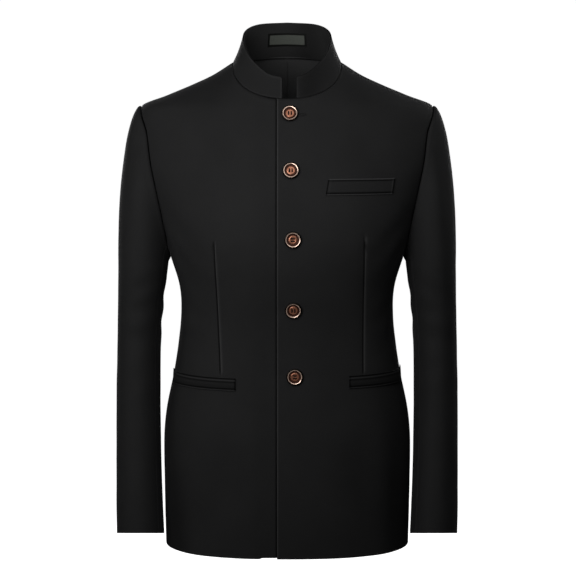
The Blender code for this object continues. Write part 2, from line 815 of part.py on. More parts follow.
def make_buttons():
    mesh = make_button_mesh()
    mesh.materials.append(material("button", COPPER))
    mesh.shade_smooth()
    mesh.set_sharp_from_angle(angle=math.radians(SHARP_ANGLE))
    for number, row in enumerate(named_rows(BUTTONS, BUTTON_COLUMNS), start=1):
        level = row["level"]
        angle = angle_at(row["out"], level)
        normal = body_normal(angle, level)
        place = body_point(angle, level) + normal * BUTTON_LIFT
        turn = normal.to_track_quat("Z", "Y")
        cutter = make_hole_cutter()
        cutter.name = f"thread_holes_{number}"
        button = bpy.data.objects.new(f"button_{number}", mesh)
        bpy.context.collection.objects.link(button)
        for thing in (button, cutter):
            thing.rotation_mode = "QUATERNION"
            thing.rotation_quaternion = turn
            thing.location = place
        holes = button.modifiers.new("thread_holes", "BOOLEAN")
        holes.operation = "DIFFERENCE"
        holes.object = cutter


def main():
    for old in list(bpy.data.objects):
        bpy.data.objects.remove(old)
    for side in ("left", "right"):
        make_front(side)
        make_side(side)
        make_back(side)
        make_sleeve(side)
    make_collar()
    make_label()
    make_lining()
    for welt in named_rows(WELTS, WELT_COLUMNS):
        make_welt(welt)
    make_buttons()


main()
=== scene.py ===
import math

import bmesh
import bpy
import numpy as np
from mathutils import Matrix, Vector, noise


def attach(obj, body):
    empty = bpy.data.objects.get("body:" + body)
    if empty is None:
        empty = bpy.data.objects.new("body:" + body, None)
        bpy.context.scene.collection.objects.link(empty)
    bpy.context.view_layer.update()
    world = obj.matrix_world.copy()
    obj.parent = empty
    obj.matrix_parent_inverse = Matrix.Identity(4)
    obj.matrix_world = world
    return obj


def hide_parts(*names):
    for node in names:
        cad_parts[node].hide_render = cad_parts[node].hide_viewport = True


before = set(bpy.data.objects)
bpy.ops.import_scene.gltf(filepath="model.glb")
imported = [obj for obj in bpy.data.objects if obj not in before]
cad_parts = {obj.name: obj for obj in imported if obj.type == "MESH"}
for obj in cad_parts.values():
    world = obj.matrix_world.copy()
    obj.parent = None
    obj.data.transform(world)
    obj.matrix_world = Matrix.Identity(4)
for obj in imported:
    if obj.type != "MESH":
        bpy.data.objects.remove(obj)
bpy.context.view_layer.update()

# Cloth and seams. BACK_SLIT is what each half of the back leaves free at the centre seam, and a crease
# is the dip of a pressed line, with a swell beside it.
SOLID_WALL = 0.0020
WALL = 0.0018
COLLAR_WALL = 0.0014
LINING_WALL = 0.0010
SEAM_GAP = 0.0003
LYING_GAP = 0.0003
GAP_SPARE = 0.0001
BACK_SLIT = 0.00001
SEAM_DEPTH = 0.0012
SEAM_REACH = 0.0011
SEAM_SWELL = 0.00045
SEAM_SWELL_AT = 0.0045
SEAM_SWELL_REACH = 0.0030
CREASE_POWER = 1.3
EDGE_FADE = 0.0022
EDGE_ROUNDING = 0.46
EDGE_LOOPS = (0.00016, 0.00042, 0.0009, 0.0015, 0.0022, 0.0031)
EDGE_LOOP_LIMITS = (0.08, 0.16, 0.28, 0.42, 0.58, 0.76)
SHARP_ANGLE = 50.0

# Sections of the body, from the back of the neck down to the hem
SECTION_COLUMNS = ("level", "half_width", "front", "back", "square")
SECTIONS = [
    (0.014, 0.0590, 0.055, 0.057, 2.00),
    (0.003, 0.0785, 0.060, 0.062, 2.00),
    (-0.015, 0.1070, 0.067, 0.071, 2.02),
    (-0.029, 0.1372, 0.073, 0.079, 2.05),
    (-0.044, 0.1738, 0.080, 0.087, 2.10),
    (-0.0595, 0.2108, 0.087, 0.094, 2.20),
    (-0.100, 0.2165, 0.104, 0.107, 2.30),
    (-0.137, 0.2135, 0.117, 0.116, 2.38),
    (-0.180, 0.2005, 0.129, 0.123, 2.44),
    (-0.240, 0.1805, 0.137, 0.125, 2.48),
    (-0.279, 0.1690, 0.136, 0.121, 2.48),
    (-0.320, 0.1572, 0.129, 0.112, 2.44),
    (-0.358, 0.1548, 0.122, 0.107, 2.42),
    (-0.400, 0.1585, 0.118, 0.108, 2.42),
    (-0.450, 0.1665, 0.118, 0.114, 2.44),
    (-0.500, 0.1768, 0.121, 0.122, 2.46),
    (-0.540, 0.1808, 0.124, 0.127, 2.46),
    (-0.610, 0.1806, 0.126, 0.130, 2.46),
    (-0.702, 0.1795, 0.127, 0.129, 2.46),
]
HEM_LEVEL = -0.702
UNDER_FRONT_SHORTER = 0.0015

# Neck seam
NECK_LEVEL = 0.003
NECK_HALF_WIDTH = 0.0785
NECK_DROP = 0.0495
NECK_RISE = 0.009
NECK_SQUARE = 2.25

# Armhole seam, an oval seen from the side: its angle is 0 under the arm, 90 at the front and 180 at the
# shoulder, and minus those behind
ARMHOLE_BOTTOM = -0.2785
ARMHOLE_TOP = -0.0595
ARMHOLE_FRONT = 0.060
ARMHOLE_BACK = 0.066
ARC_FRONT_SEAM = 12.0
ARC_BACK_SEAM = -50.0
SEARCH_STEPS = 30
FRONT_SEAM_HEM_ANGLE = 85.0
BACK_SEAM_HEM_ANGLE = 118.0
SIDE_TOP_BEND = 4

# Rows and columns of the panels
LOWER_ROWS = 84
FRONT_ARC_STEPS = 56
UNDER_ARC_STEPS = 20
BACK_ARC_STEPS = 44
LAP_STEPS = 12
LAP_EDGE_STEP = 7
COLUMNS_TO_DART = 20
COLUMNS_FROM_DART = 34
NECK_STEPS_FRONT = 22
NECK_STEPS_BACK = 20
SHOULDER_STEPS = 32

# Front opening and darts
EDGE_LAP = 0.0146
LAP_INNER = 0.018
LAP_FADE = 0.052
LAP_OUTER = 0.036
DART_COLUMNS = ("side", "top_out", "top_level", "bottom_out", "bottom_level")
DARTS = [
    ("left", 0.1097, -0.235, 0.1086, -0.437),
    ("right", 0.1039, -0.245, 0.0953, -0.437),
]
DART_LINE_LOW = -0.5
DART_LINE_HIGH = 1.2
DART_DEPTH = 0.0011
DART_REACH = 0.0010
# Painted light on pressed lines: a painted shade in the crease and a painted highlight beside it
LINE_DARK = 0.90
LINE_DARK_REACH = 0.0011
LINE_LIT = 1.30
LINE_LIT_AT = 0.0022
LINE_LIT_REACH = 0.0009
# The groove beside the front edge, which also carries a painted shade
EDGE_GROOVE_DEPTH = 0.0010
EDGE_GROOVE_REACH = 0.0017
# A painted highlight along the left front's edge
EDGE_LIT = 1.00
EDGE_LIT_AT = 0.0011
DART_PINCH = 0.0006
DART_PINCH_REACH = 0.0080
DART_PINCH_FADE = 6.0
DART_FADE = 40.0

# Sleeve below its head
SLEEVE_COLUMNS = ("level", "inner", "outer", "centre", "depth", "swing")
SLEEVE = [
    (-0.290, 0.1740, 0.2466, 0.000, 0.0710, 0.0),
    (-0.340, 0.1808, 0.2482, 0.002, 0.0690, 0.5),
    (-0.385, 0.1848, 0.2492, 0.001, 0.0670, 3.0),
    (-0.430, 0.1862, 0.2497, -0.003, 0.0650, 6.0),
    (-0.490, 0.1862, 0.2498, -0.014, 0.0620, 9.5),
    (-0.540, 0.1852, 0.2498, -0.025, 0.0600, 11.5),
    (-0.580, 0.1843, 0.2496, -0.033, 0.0585, 12.5),
    (-0.640, 0.1816, 0.2490, -0.046, 0.0560, 12.8),
    (-0.680, 0.1793, 0.2482, -0.055, 0.0545, 12.8),
]
SLEEVE_SQUARE = 2.25
SLEEVE_FRONT_SEAM_ARC = 36.0
SLEEVE_BACK_SEAM_ARC = -61.8182
CAP_ROWS = 26
SLEEVE_ROWS = 64
TOP_SLEEVE_COLUMNS = 76
UNDER_SLEEVE_COLUMNS = 30
CAP_REACH = 0.0195
CAP_LIFT = 0.15
CAP_FORWARD = 0.22
CAP_DROP = 0.52
CAP_UNDER_DROP = 1.3
CAP_UNDER_REACH = 0.0025
CAP_LIFT_BEND = 0.6
CAP_ROW_BEND = 1.2
CAP_FOLD_FADE = 0.05
CUFF_STITCH_UP = 0.0044
CUFF_STITCH_DEPTH = 0.00035
CUFF_STITCH_REACH = 0.0007

# Collar
COLLAR_COLUMNS = ("round", "height")
COLLAR_TOP = [
    (0.0, -0.0165),
    (20.0, -0.0120),
    (37.0, -0.0005),
    (55.0, 0.0130),
    (80.0, 0.0340),
    (105.0, 0.0475),
    (140.0, 0.0580),
    (180.0, 0.0610),
]
COLLAR_TOP_HALF_WIDTH = 0.0642
COLLAR_TOP_FRONT = 0.0690
COLLAR_TOP_BACK = 0.0500
COLLAR_END_LEFT = 0.0128
COLLAR_END_RIGHT = -0.0066
COLLAR_SEAT = 0.0009
COLLAR_START_COLUMNS = ("name", "front_up", "back_up")
COLLAR_STARTS = [
    ("collar_outer", 0.000, -0.030),
    ("collar_inner", 0.055, -0.050),
]
COLLAR_START_SIDE = (50.0, 100.0)
COLLAR_BACK_DROP = -0.060
# Painted light on the collar: painted shade along the inner collar's seam, painted shade over the collar
# on the wearer's left beside the front, and a painted highlight beside its edges
COLLAR_SEAM_DARK = 0.92
COLLAR_SEAM_REACH = 0.0016
COLLAR_SHADE = 0.42
COLLAR_SHADE_AT = 0.030
COLLAR_SHADE_REACH = 0.022
COLLAR_LIT = 0.60
COLLAR_BOW = -0.0014
COLLAR_STEPS = 150
COLLAR_ROWS = 22
COLLAR_CORNER = 0.0020

# Lining and label
PLEAT_DEPTH = 0.0014
PLEAT_REACH = 0.0009
PLEAT_SWELL = 0.0007
PLEAT_SWELL_AT = 0.0046
PLEAT_SWELL_REACH = 0.0022
PLEAT_FADE = 0.015
LINING_SHARE = 0.46
LINING_ROWS = 30
LABEL_HALF_WIDTH = 0.0300
LABEL_BOTTOM = 0.29
LABEL_HEIGHT = 0.40
LABEL_WALL = 0.0007
LABEL_GAP = 0.00015
LABEL_ROWS = 12
LABEL_STEPS = 40
LABEL_SEARCH_STEP = 0.1

# Pocket welts
WELT_COLUMNS = ("name", "side", "front_out", "back_out", "top", "bottom", "slant", "lip")
WELTS = [
    ("chest_welt", "left", 0.0576, 0.1525, -0.1580, -0.1805, 0.0037, 0.3),
    ("pocket_welt_left", "left", 0.0880, 0.1648, -0.4395, -0.4575, 0.0, 1.0),
    ("pocket_welt_right", "right", 0.0730, 0.1648, -0.4425, -0.4605, 0.0, 1.0),
]
LIP_DOWN = 0.0036
LIP_REACH = 0.0015
LIP_RISE = 0.0006
LIP_FADE = 0.02
TONE_LIMITS = (0.04, 3.0)
WELT_WALL = 0.0014
WELT_STEPS = 56
WELT_ROWS = 32
# Bands of painted light along a welt's borders: a negative change is a painted shade, in the pocket
# opening and along the seams, and a positive one a painted highlight beside them
WELT_BAND_COLUMNS = ("lip", "border", "at", "reach", "change")
WELT_BANDS = [
    ("chest", "top", 0.0008, 0.0009, 1.50),
    ("chest", "top", 0.0027, 0.0011, -0.95),
    ("chest", "bottom", 0.0006, 0.0009, 1.30),
    ("chest", "bottom", 0.0026, 0.0016, -0.98),
    ("chest", "first", 0.0009, 0.0014, -0.98),
    ("chest", "first", 0.0029, 0.0010, 1.00),
    ("chest", "last", 0.0009, 0.0014, -0.98),
    ("chest", "last", 0.0029, 0.0010, 0.90),
    ("pocket", "top", 0.0008, 0.0015, -0.98),
    ("pocket", "top", 0.0034, 0.0009, 1.10),
    ("pocket", "top", 0.0058, 0.0012, -0.50),
    ("pocket", "bottom", 0.0005, 0.0009, 1.20),
    ("pocket", "bottom", 0.0028, 0.0015, -0.98),
    ("pocket", "bottom", 0.0064, 0.0012, -0.25),
    ("pocket", "first", 0.0008, 0.0012, -0.80),
]

# Buttons
BUTTON_COLUMNS = ("out", "level", "thread")
BUTTONS = [
    (0.0040, -0.0676, "upright"),
    (0.0053, -0.1463, "upright"),
    (0.0081, -0.2421, "across"),
    (0.0088, -0.3428, "upright"),
    (0.0109, -0.4392, "across"),
]
BUTTON_LIFT = 0.0006
BUTTON_SIDES = 72
BUTTON_PROFILE = [
    (0.0000, 0.0000),
    (0.0092, 0.0000),
    (0.0108, 0.0003),
    (0.0116, 0.0009),
    (0.0120, 0.0018),
    (0.0119, 0.0026),
    (0.0114, 0.0033),
    (0.0107, 0.0036),
    (0.0099, 0.0036),
    (0.0092, 0.0033),
    (0.0087, 0.0027),
    (0.0083, 0.0020),
    (0.0078, 0.0017),
    (0.0066, 0.0017),
    (0.0062, 0.0020),
    (0.0058, 0.0024),
    (0.0052, 0.0026),
    (0.0040, 0.0025),
    (0.0000, 0.0022),
]
BUTTON_HOLE_RADIUS = 0.00110
BUTTON_HOLE_OUT = 0.0027
BUTTON_HOLE_SIDES = 16
BUTTON_HOLES = 4
PIN_LENGTH = 0.008
PIN_LEVEL = 0.0015
BUTTON_SHARP_ANGLE = 35.0

# Thread over the buttons, by the button's own heights
BAR_RADIUS = 0.00050
BAR_OFFSETS = (-0.00045, 0.00045)
BAR_PAST_HOLE = 0.0006
BAR_STEPS = 10
BAR_LEVEL = 0.0027
BAR_ARCH = 0.0004
BAR_DIP = 0.0016
BAR_DIP_POWER = 8
TUBE_END = 0.55

# Buttonhole beside the top button, its places by the button's
HOLE_DOWN = 0.0012
HOLE_FROM = 0.004
HOLE_TO = 0.0212
HOLE_HALF_WIDTH = 0.0013
HOLE_STEPS = 30
HOLE_END_STEPS = 8
STITCH_REACH = 0.0009
STITCH_RISE = 0.0003
STITCH_LIFT = 0.0001
STITCH_RADIUS = 0.00026
STITCH_SIDES = 6
STITCH_STEPS = 4

# Steps along the body's face, from which its normals are taken
BODY_STEPS = (1.0, 0.002)


def lerp(a, b, t):
    return a + (b - a) * t


def signed_power(value, power):
    return math.copysign(abs(value) ** power, value)


def named_rows(table, columns):
    return [dict(zip(columns, row)) for row in table]


def table_value(table, columns, name, at):
    """A column's value on a smooth curve through a table's rows, ordered by their first column."""
    column = columns.index(name)
    keys = [row[0] for row in table]
    values = [row[column] for row in table]
    if keys[0] > keys[-1]:
        keys.reverse()
        values.reverse()
    at = min(max(at, keys[0]), keys[-1])
    k = 0
    while k < len(keys) - 2 and at > keys[k + 1]:
        k += 1
    slopes = []
    for i in (k, k + 1):
        low = max(i - 1, 0)
        high = min(i + 1, len(keys) - 1)
        slopes.append((values[high] - values[low]) / (keys[high] - keys[low]))
    span = keys[k + 1] - keys[k]
    t = (at - keys[k]) / span
    return (
        values[k] * (2 * t**3 - 3 * t**2 + 1)
        + slopes[0] * span * (t**3 - 2 * t**2 + t)
        + values[k + 1] * (3 * t**2 - 2 * t**3)
        + slopes[1] * span * (t**3 - t**2)
    )


def section(level):
    return [table_value(SECTIONS, SECTION_COLUMNS, name, level) for name in SECTION_COLUMNS[1:]]


def body_point(angle, level):
    """A point of the body's outer face, on the wearer's left."""
    half_width, front, back, square = section(level)
    turn = math.radians(angle)
    depth = front if math.cos(turn) > 0 else back
    x = half_width * signed_power(math.sin(turn), 2 / square)
    y = -depth * signed_power(math.cos(turn), 2 / square)
    return Vector((x, y, level))


def body_normal(angle, level):
    step_u, step_v = BODY_STEPS
    along_u = body_point(angle + step_u, level) - body_point(angle - step_u, level)
    along_v = body_point(angle, level + step_v) - body_point(angle, level - step_v)
    return along_u.cross(along_v).normalized()


def angle_at(out, level, behind=False):
    """The angle at which the body's face lies at this distance from its middle."""
    half_width, _, _, square = section(level)
    ratio = min(abs(out) / half_width, 1.0)
    angle = math.degrees(math.asin(ratio ** (square / 2)))
    if behind:
        return 180.0 - math.copysign(angle, out)
    return math.copysign(angle, out)


def neck_place(turn):
    """Angle and level of the neck seam, at an angle round the neck from the centre front."""
    t = math.radians(turn)
    if turn <= 90.0:
        out = NECK_HALF_WIDTH * signed_power(math.sin(t), 2 / NECK_SQUARE)
        level = NECK_LEVEL - NECK_DROP * math.cos(t) ** (2 / NECK_SQUARE)
        return angle_at(out, level), level
    level = NECK_LEVEL + NECK_RISE * math.cos(t) ** 2
    return angle_at(NECK_HALF_WIDTH * math.sin(t), level, behind=True), level


def neck_turn(out):
    """The angle round the neck seam at this distance from its middle."""
    return math.degrees(math.asin(signed_power(out / NECK_HALF_WIDTH, NECK_SQUARE / 2)))


def shoulder_place(t):
    """Angle and level along the shoulder seam, from the neck to the armhole."""
    out = lerp(NECK_HALF_WIDTH, section(ARMHOLE_TOP)[0], t)
    low, high = ARMHOLE_TOP, NECK_LEVEL
    for _ in range(SEARCH_STEPS):
        middle = (low + high) / 2
        if section(middle)[0] > out:
            low = middle
        else:
            high = middle
    return 90.0, (low + high) / 2


def armhole_place(arc):
    """Angle and level of the armhole seam, at an angle round it."""
    a = math.radians(arc)
    level = lerp(ARMHOLE_BOTTOM, ARMHOLE_TOP, (1 - math.cos(a)) / 2)
    _, front, back, square = section(level)
    if arc >= 0:
        ratio = ARMHOLE_FRONT * abs(math.sin(a)) / front
        return math.degrees(math.acos(ratio ** (square / 2))), level
    ratio = ARMHOLE_BACK * abs(math.sin(a)) / back
    return 180.0 - math.degrees(math.acos(ratio ** (square / 2))), level


def steps_between(start, end, steps):
    return [lerp(start, end, i / steps) for i in range(steps + 1)]


FRONT_ARC = steps_between(ARC_FRONT_SEAM, 180.0, FRONT_ARC_STEPS)
UNDER_ARC = steps_between(ARC_FRONT_SEAM, ARC_BACK_SEAM, UNDER_ARC_STEPS)
BACK_ARC = steps_between(ARC_BACK_SEAM, -180.0, BACK_ARC_STEPS)


def seam_angle(arc, hem_angle, level):
    """Angle of a side seam at a level, between its ends at the armhole and the hem."""
    top_angle, top_level = armhole_place(arc)
    t = (level - HEM_LEVEL) / (top_level - HEM_LEVEL)
    return lerp(hem_angle, top_angle, min(max(t, 0.0), 1.0) ** 2)


def front_seam_angle(level):
    return seam_angle(ARC_FRONT_SEAM, FRONT_SEAM_HEM_ANGLE, level)


def back_seam_angle(level):
    return seam_angle(ARC_BACK_SEAM, BACK_SEAM_HEM_ANGLE, level)


def dart_share(side, level):
    """A front's dart, and how far up it a level lies: 0 at its bottom and 1 at its top."""
    dart = next(row for row in named_rows(DARTS, DART_COLUMNS) if row["side"] == side)
    return dart, (level - dart["bottom_level"]) / (dart["top_level"] - dart["bottom_level"])


def dart_line(side, level):
    """How far from the middle a front's dart line lies at a level, carried on past its ends."""
    dart, t = dart_share(side, level)
    t = min(max(t, DART_LINE_LOW), DART_LINE_HIGH)
    return lerp(dart["bottom_out"], dart["top_out"], t)


# Grids of places, each an angle and a level on the body's face


def lap_outs():
    inner = steps_between(-EDGE_LAP, EDGE_LAP, LAP_EDGE_STEP)
    return inner[:-1] + steps_between(EDGE_LAP, LAP_OUTER, LAP_STEPS - LAP_EDGE_STEP)


def front_columns_low(side, level):
    lead = [angle_at(out, level) for out in lap_outs()]
    dart = angle_at(dart_line(side, level), level)
    to_dart = steps_between(lead[-1], dart, COLUMNS_TO_DART)
    from_dart = steps_between(dart, front_seam_angle(level), COLUMNS_FROM_DART)
    return lead[:-1] + to_dart[:-1] + from_dart


def shoulder_places():
    return [shoulder_place(i / SHOULDER_STEPS) for i in range(1, SHOULDER_STEPS + 1)]


def front_top():
    lead = [neck_turn(out) for out in lap_outs()]
    turns = lead[:-1] + steps_between(lead[-1], 90.0, NECK_STEPS_FRONT)
    neck = []
    for turn in turns:
        angle, level = neck_place(abs(turn))
        neck.append((math.copysign(angle, turn), level))
    return neck + shoulder_places()


def back_top():
    return [neck_place(turn) for turn in steps_between(180.0, 90.0, NECK_STEPS_BACK)] + shoulder_places()


def upper_rows(low_row, low_level, top, arcs, behind):
    """Rows of a front or back beside the armhole, whose last column follows the armhole seam."""
    low_out = [body_point(angle, low_level).x for angle, _ in low_row]
    top_out = [body_point(angle, level).x for angle, level in top]
    last = len(low_row) - 1
    rows = []
    for arc in arcs[1:-1]:
        edge_angle, edge_level = armhole_place(arc)
        edge_out = body_point(edge_angle, edge_level).x
        t = (edge_level - low_level) / (ARMHOLE_TOP - low_level)
        bulge = edge_out - lerp(low_out[last], top_out[last], t)
        row = []
        for i in range(last):
            level = lerp(low_level, top[i][1], t)
            out = lerp(low_out[i], top_out[i], t) + bulge * (i / last) ** 2
            row.append((angle_at(out, level, behind), level))
        rows.append(row + [(edge_angle, edge_level)])
    return rows + [top[:last] + [armhole_place(arcs[-1])]]


def front_places(side):
    corner_level = armhole_place(ARC_FRONT_SEAM)[1]
    levels = steps_between(HEM_LEVEL, corner_level, LOWER_ROWS)
    rows = [[(angle, level) for angle in front_columns_low(side, level)] for level in levels]
    if side == "right":
        for i in range(LAP_STEPS + 1):
            rows[0][i] = (rows[0][i][0], HEM_LEVEL + UNDER_FRONT_SHORTER)
    return rows + upper_rows(rows[-1], corner_level, front_top(), FRONT_ARC, behind=False)


def back_places():
    corner_level = armhole_place(ARC_BACK_SEAM)[1]
    columns = NECK_STEPS_BACK + SHOULDER_STEPS
    rows = []
    for level in steps_between(HEM_LEVEL, corner_level, LOWER_ROWS):
        rows.append([(angle, level) for angle in steps_between(180.0, back_seam_angle(level), columns)])
    rows += upper_rows(rows[-1], corner_level, back_top(), BACK_ARC, behind=True)
    return [list(reversed(row)) for row in rows]


def side_places():
    top = [armhole_place(arc) for arc in UNDER_ARC]
    rows = []
    for j in range(LOWER_ROWS):
        t = j / LOWER_ROWS
        row = []
        for i, (top_angle, top_level) in enumerate(top):
            level = lerp(HEM_LEVEL, top_level, t)
            start, end = front_seam_angle(level), back_seam_angle(level)
            top_start, top_end = front_seam_angle(top_level), back_seam_angle(top_level)
            top_share = (top_angle - top_start) / (top_end - top_start)
            share = i / UNDER_ARC_STEPS
            if 0 < i < UNDER_ARC_STEPS:
                share = lerp(share, top_share, t**SIDE_TOP_BEND)
            row.append((lerp(start, end, share), level))
        rows.append(row)
    return rows + [top]


# Grids of points: three coordinates and two places on the piece for each


def body_grid(places):
    return np.array([[(*body_point(*place), *place) for place in row] for row in places])


def add_columns(grid, lines):
    """Adds columns close to each side of some lines of a grid."""
    out = []
    last = grid.shape[1] - 1
    for c in range(last + 1):
        out.append(grid[:, c])
        if c == last:
            continue
        span = np.linalg.norm(grid[:, c + 1, :3] - grid[:, c, :3], axis=1)
        shares = [np.minimum(d / span, limit) for d, limit in zip(EDGE_LOOPS, EDGE_LOOP_LIMITS)]
        ahead = [grid[:, c] + (grid[:, c + 1] - grid[:, c]) * s[:, None] for s in shares]
        behind = [grid[:, c + 1] + (grid[:, c] - grid[:, c + 1]) * s[:, None] for s in reversed(shares)]
        if c in lines:
            out += ahead
        elif c + 1 in lines:
            out += behind
    return np.stack(out, axis=1)


def refined(grid, columns=()):
    """The grid with more columns and rows close to its border and to some of its columns."""
    grid = add_columns(grid, {0, grid.shape[1] - 1, *columns})
    grid = grid.transpose(1, 0, 2)
    return add_columns(grid, {0, grid.shape[1] - 1}).transpose(1, 0, 2)


def grid_normals(points):
    along = np.gradient(points, axis=1)
    up = np.gradient(points, axis=0)
    normals = np.cross(along, up)
    return normals / np.linalg.norm(normals, axis=2, keepdims=True)


def border_distances(points):
    """How far each point lies from the first and last column and the first and last row."""
    across = np.cumsum(np.linalg.norm(np.diff(points, axis=1, prepend=points[:, :1]), axis=2), axis=1)
    up = np.cumsum(np.linalg.norm(np.diff(points, axis=0, prepend=points[:1]), axis=2), axis=0)
    return {"first": across, "last": across[:, -1:] - across, "bottom": up, "top": up[-1:] - up}


def drawn_in(points, half_gap):
    """The border of a grid drawn in along the grid, which leaves half a gap at a seam."""
    moved = points.copy()
    for axis in (0, 1):
        for edge, inner in ((0, 1), (-1, -2)):
            way = np.take(points, inner, axis) - np.take(points, edge, axis)
            way /= np.linalg.norm(way, axis=1, keepdims=True)
            index = (edge, slice(None)) if axis == 0 else (slice(None), edge)
            moved[index] += way * half_gap
    return moved


def smooth_step(t):
    t = np.clip(t, 0.0, 1.0)
    return t * t * (3 - 2 * t)


def bell(value, at, reach):
    """1 where the value is at its middle, and less the further it lies from that."""
    return np.exp(-(((value - at) / reach) ** 2))


def seam_roll(distance):
    """How far cloth dips towards a seam, with the faint swell of the pressed allowance beside it."""
    dip = SEAM_DEPTH * np.exp(-((distance / SEAM_REACH) ** CREASE_POWER))
    return dip - SEAM_SWELL * bell(distance, SEAM_SWELL_AT, SEAM_SWELL_REACH)


def free_roll(distance, wall):
    """How far each face of a turned edge rounds over."""
    radius = wall * EDGE_ROUNDING
    inside = np.clip(radius - distance, 0.0, radius)
    return radius - np.sqrt(radius**2 - inside**2)


# Soft folds on the body: a line from one place to another, its width and its depth, minus where it rises
FOLD_COLUMNS = ("side", "angle_1", "level_1", "angle_2", "level_2", "width", "depth")
BODY_RADIUS = 0.150
FOLDS = [
    ("left", 66.0, -0.215, 44.0, -0.262, 0.016, 0.0013),
    ("left", 72.0, -0.245, 56.0, -0.292, 0.013, 0.0010),
    ("left", 74.0, -0.352, 48.0, -0.368, 0.012, 0.0010),
    ("left", 80.0, -0.384, 58.0, -0.392, 0.013, 0.0011),
    ("left", 30.0, -0.470, 34.0, -0.690, 0.020, 0.0012),
    ("left", 58.0, -0.480, 62.0, -0.690, 0.024, 0.0016),
    ("left", 14.0, -0.452, 24.0, -0.560, 0.014, 0.0007),
    ("left", 22.0, -0.085, 40.0, -0.150, 0.022, 0.0008),
    ("right", 64.0, -0.208, 46.0, -0.252, 0.015, 0.0011),
    ("right", 72.0, -0.250, 52.0, -0.300, 0.014, 0.0011),
    ("right", 70.0, -0.346, 50.0, -0.358, 0.012, 0.0009),
    ("right", 78.0, -0.380, 54.0, -0.394, 0.013, 0.0010),
    ("right", 26.0, -0.480, 28.0, -0.690, 0.022, 0.0011),
    ("right", 54.0, -0.490, 60.0, -0.690, 0.024, 0.0015),
    ("right", 18.0, -0.090, 38.0, -0.160, 0.022, 0.0008),
    ("left", 118.0, -0.190, 140.0, -0.262, 0.017, 0.0014),
    ("left", 112.0, -0.240, 132.0, -0.304, 0.014, 0.0011),
    ("left", 166.0, -0.344, 128.0, -0.352, 0.013, 0.0011),
    ("left", 160.0, -0.382, 118.0, -0.396, 0.014, 0.0011),
    ("left", 150.0, -0.470, 148.0, -0.690, 0.024, 0.0014),
    ("left", 126.0, -0.490, 122.0, -0.690, 0.022, 0.0012),
    ("left", 172.0, -0.060, 150.0, -0.090, 0.020, 0.0009),
    ("right", 120.0, -0.185, 142.0, -0.255, 0.016, 0.0013),
    ("right", 110.0, -0.245, 130.0, -0.312, 0.015, 0.0011),
    ("right", 162.0, -0.350, 124.0, -0.344, 0.013, 0.0010),
    ("right", 158.0, -0.390, 120.0, -0.384, 0.014, 0.0012),
    ("right", 154.0, -0.480, 152.0, -0.690, 0.025, 0.0013),
    ("right", 124.0, -0.480, 128.0, -0.690, 0.021, 0.0012),
    ("right", 170.0, -0.056, 148.0, -0.080, 0.020, 0.0009),
]

# Soft folds on the sleeves, by the angle round the arm
SLEEVE_RADIUS = 0.048
SLEEVE_FOLDS = [
    ("left", 60.0, -0.318, 118.0, -0.332, 0.010, 0.0011),
    ("left", 40.0, -0.352, 110.0, -0.348, 0.011, 0.0012),
    ("left", 52.0, -0.384, 130.0, -0.400, 0.012, 0.0011),
    ("left", 60.0, -0.440, 100.0, -0.430, 0.012, 0.0008),
    ("left", 150.0, -0.130, 120.0, -0.250, 0.016, 0.0011),
    ("left", 178.0, -0.300, 170.0, -0.420, 0.020, 0.0008),
    ("left", 232.0, -0.130, 262.0, -0.270, 0.016, 0.0012),
    ("left", 236.0, -0.360, 290.0, -0.372, 0.012, 0.0011),
    ("left", 226.0, -0.410, 276.0, -0.420, 0.013, 0.0010),
    ("left", 210.0, -0.520, 250.0, -0.600, 0.016, 0.0008),
    ("left", 20.0, -0.330, -30.0, -0.345, 0.011, 0.0010),
    ("left", 10.0, -0.372, -40.0, -0.366, 0.011, 0.0010),
    ("left", 100.0, -0.560, 140.0, -0.620, 0.016, 0.0008),
    ("right", 64.0, -0.310, 112.0, -0.326, 0.010, 0.0010),
    ("right", 44.0, -0.344, 116.0, -0.352, 0.011, 0.0012),
    ("right", 50.0, -0.390, 124.0, -0.392, 0.012, 0.0010),
    ("right", 64.0, -0.446, 104.0, -0.452, 0.012, 0.0008),
    ("right", 148.0, -0.135, 116.0, -0.245, 0.016, 0.0011),
    ("right", 176.0, -0.310, 172.0, -0.430, 0.020, 0.0008),
    ("right", 230.0, -0.140, 260.0, -0.260, 0.016, 0.0011),
    ("right", 240.0, -0.352, 286.0, -0.366, 0.012, 0.0011),
    ("right", 228.0, -0.400, 280.0, -0.404, 0.013, 0.0010),
    ("right", 212.0, -0.530, 254.0, -0.610, 0.016, 0.0008),
    ("right", 22.0, -0.336, -28.0, -0.340, 0.011, 0.0010),
    ("right", 12.0, -0.378, -36.0, -0.374, 0.011, 0.0010),
    ("right", 104.0, -0.570, 142.0, -0.610, 0.016, 0.0008),
]
FOLD_FADE = 2.5
FOLD_RIDGE = 0.5
FOLD_RIDGE_OUT = 1.9
FOLD_END = 0.35
UNEVEN_SIZES = (14.0, 40.0)
UNEVEN_DEPTHS = (0.00035, 0.00010)


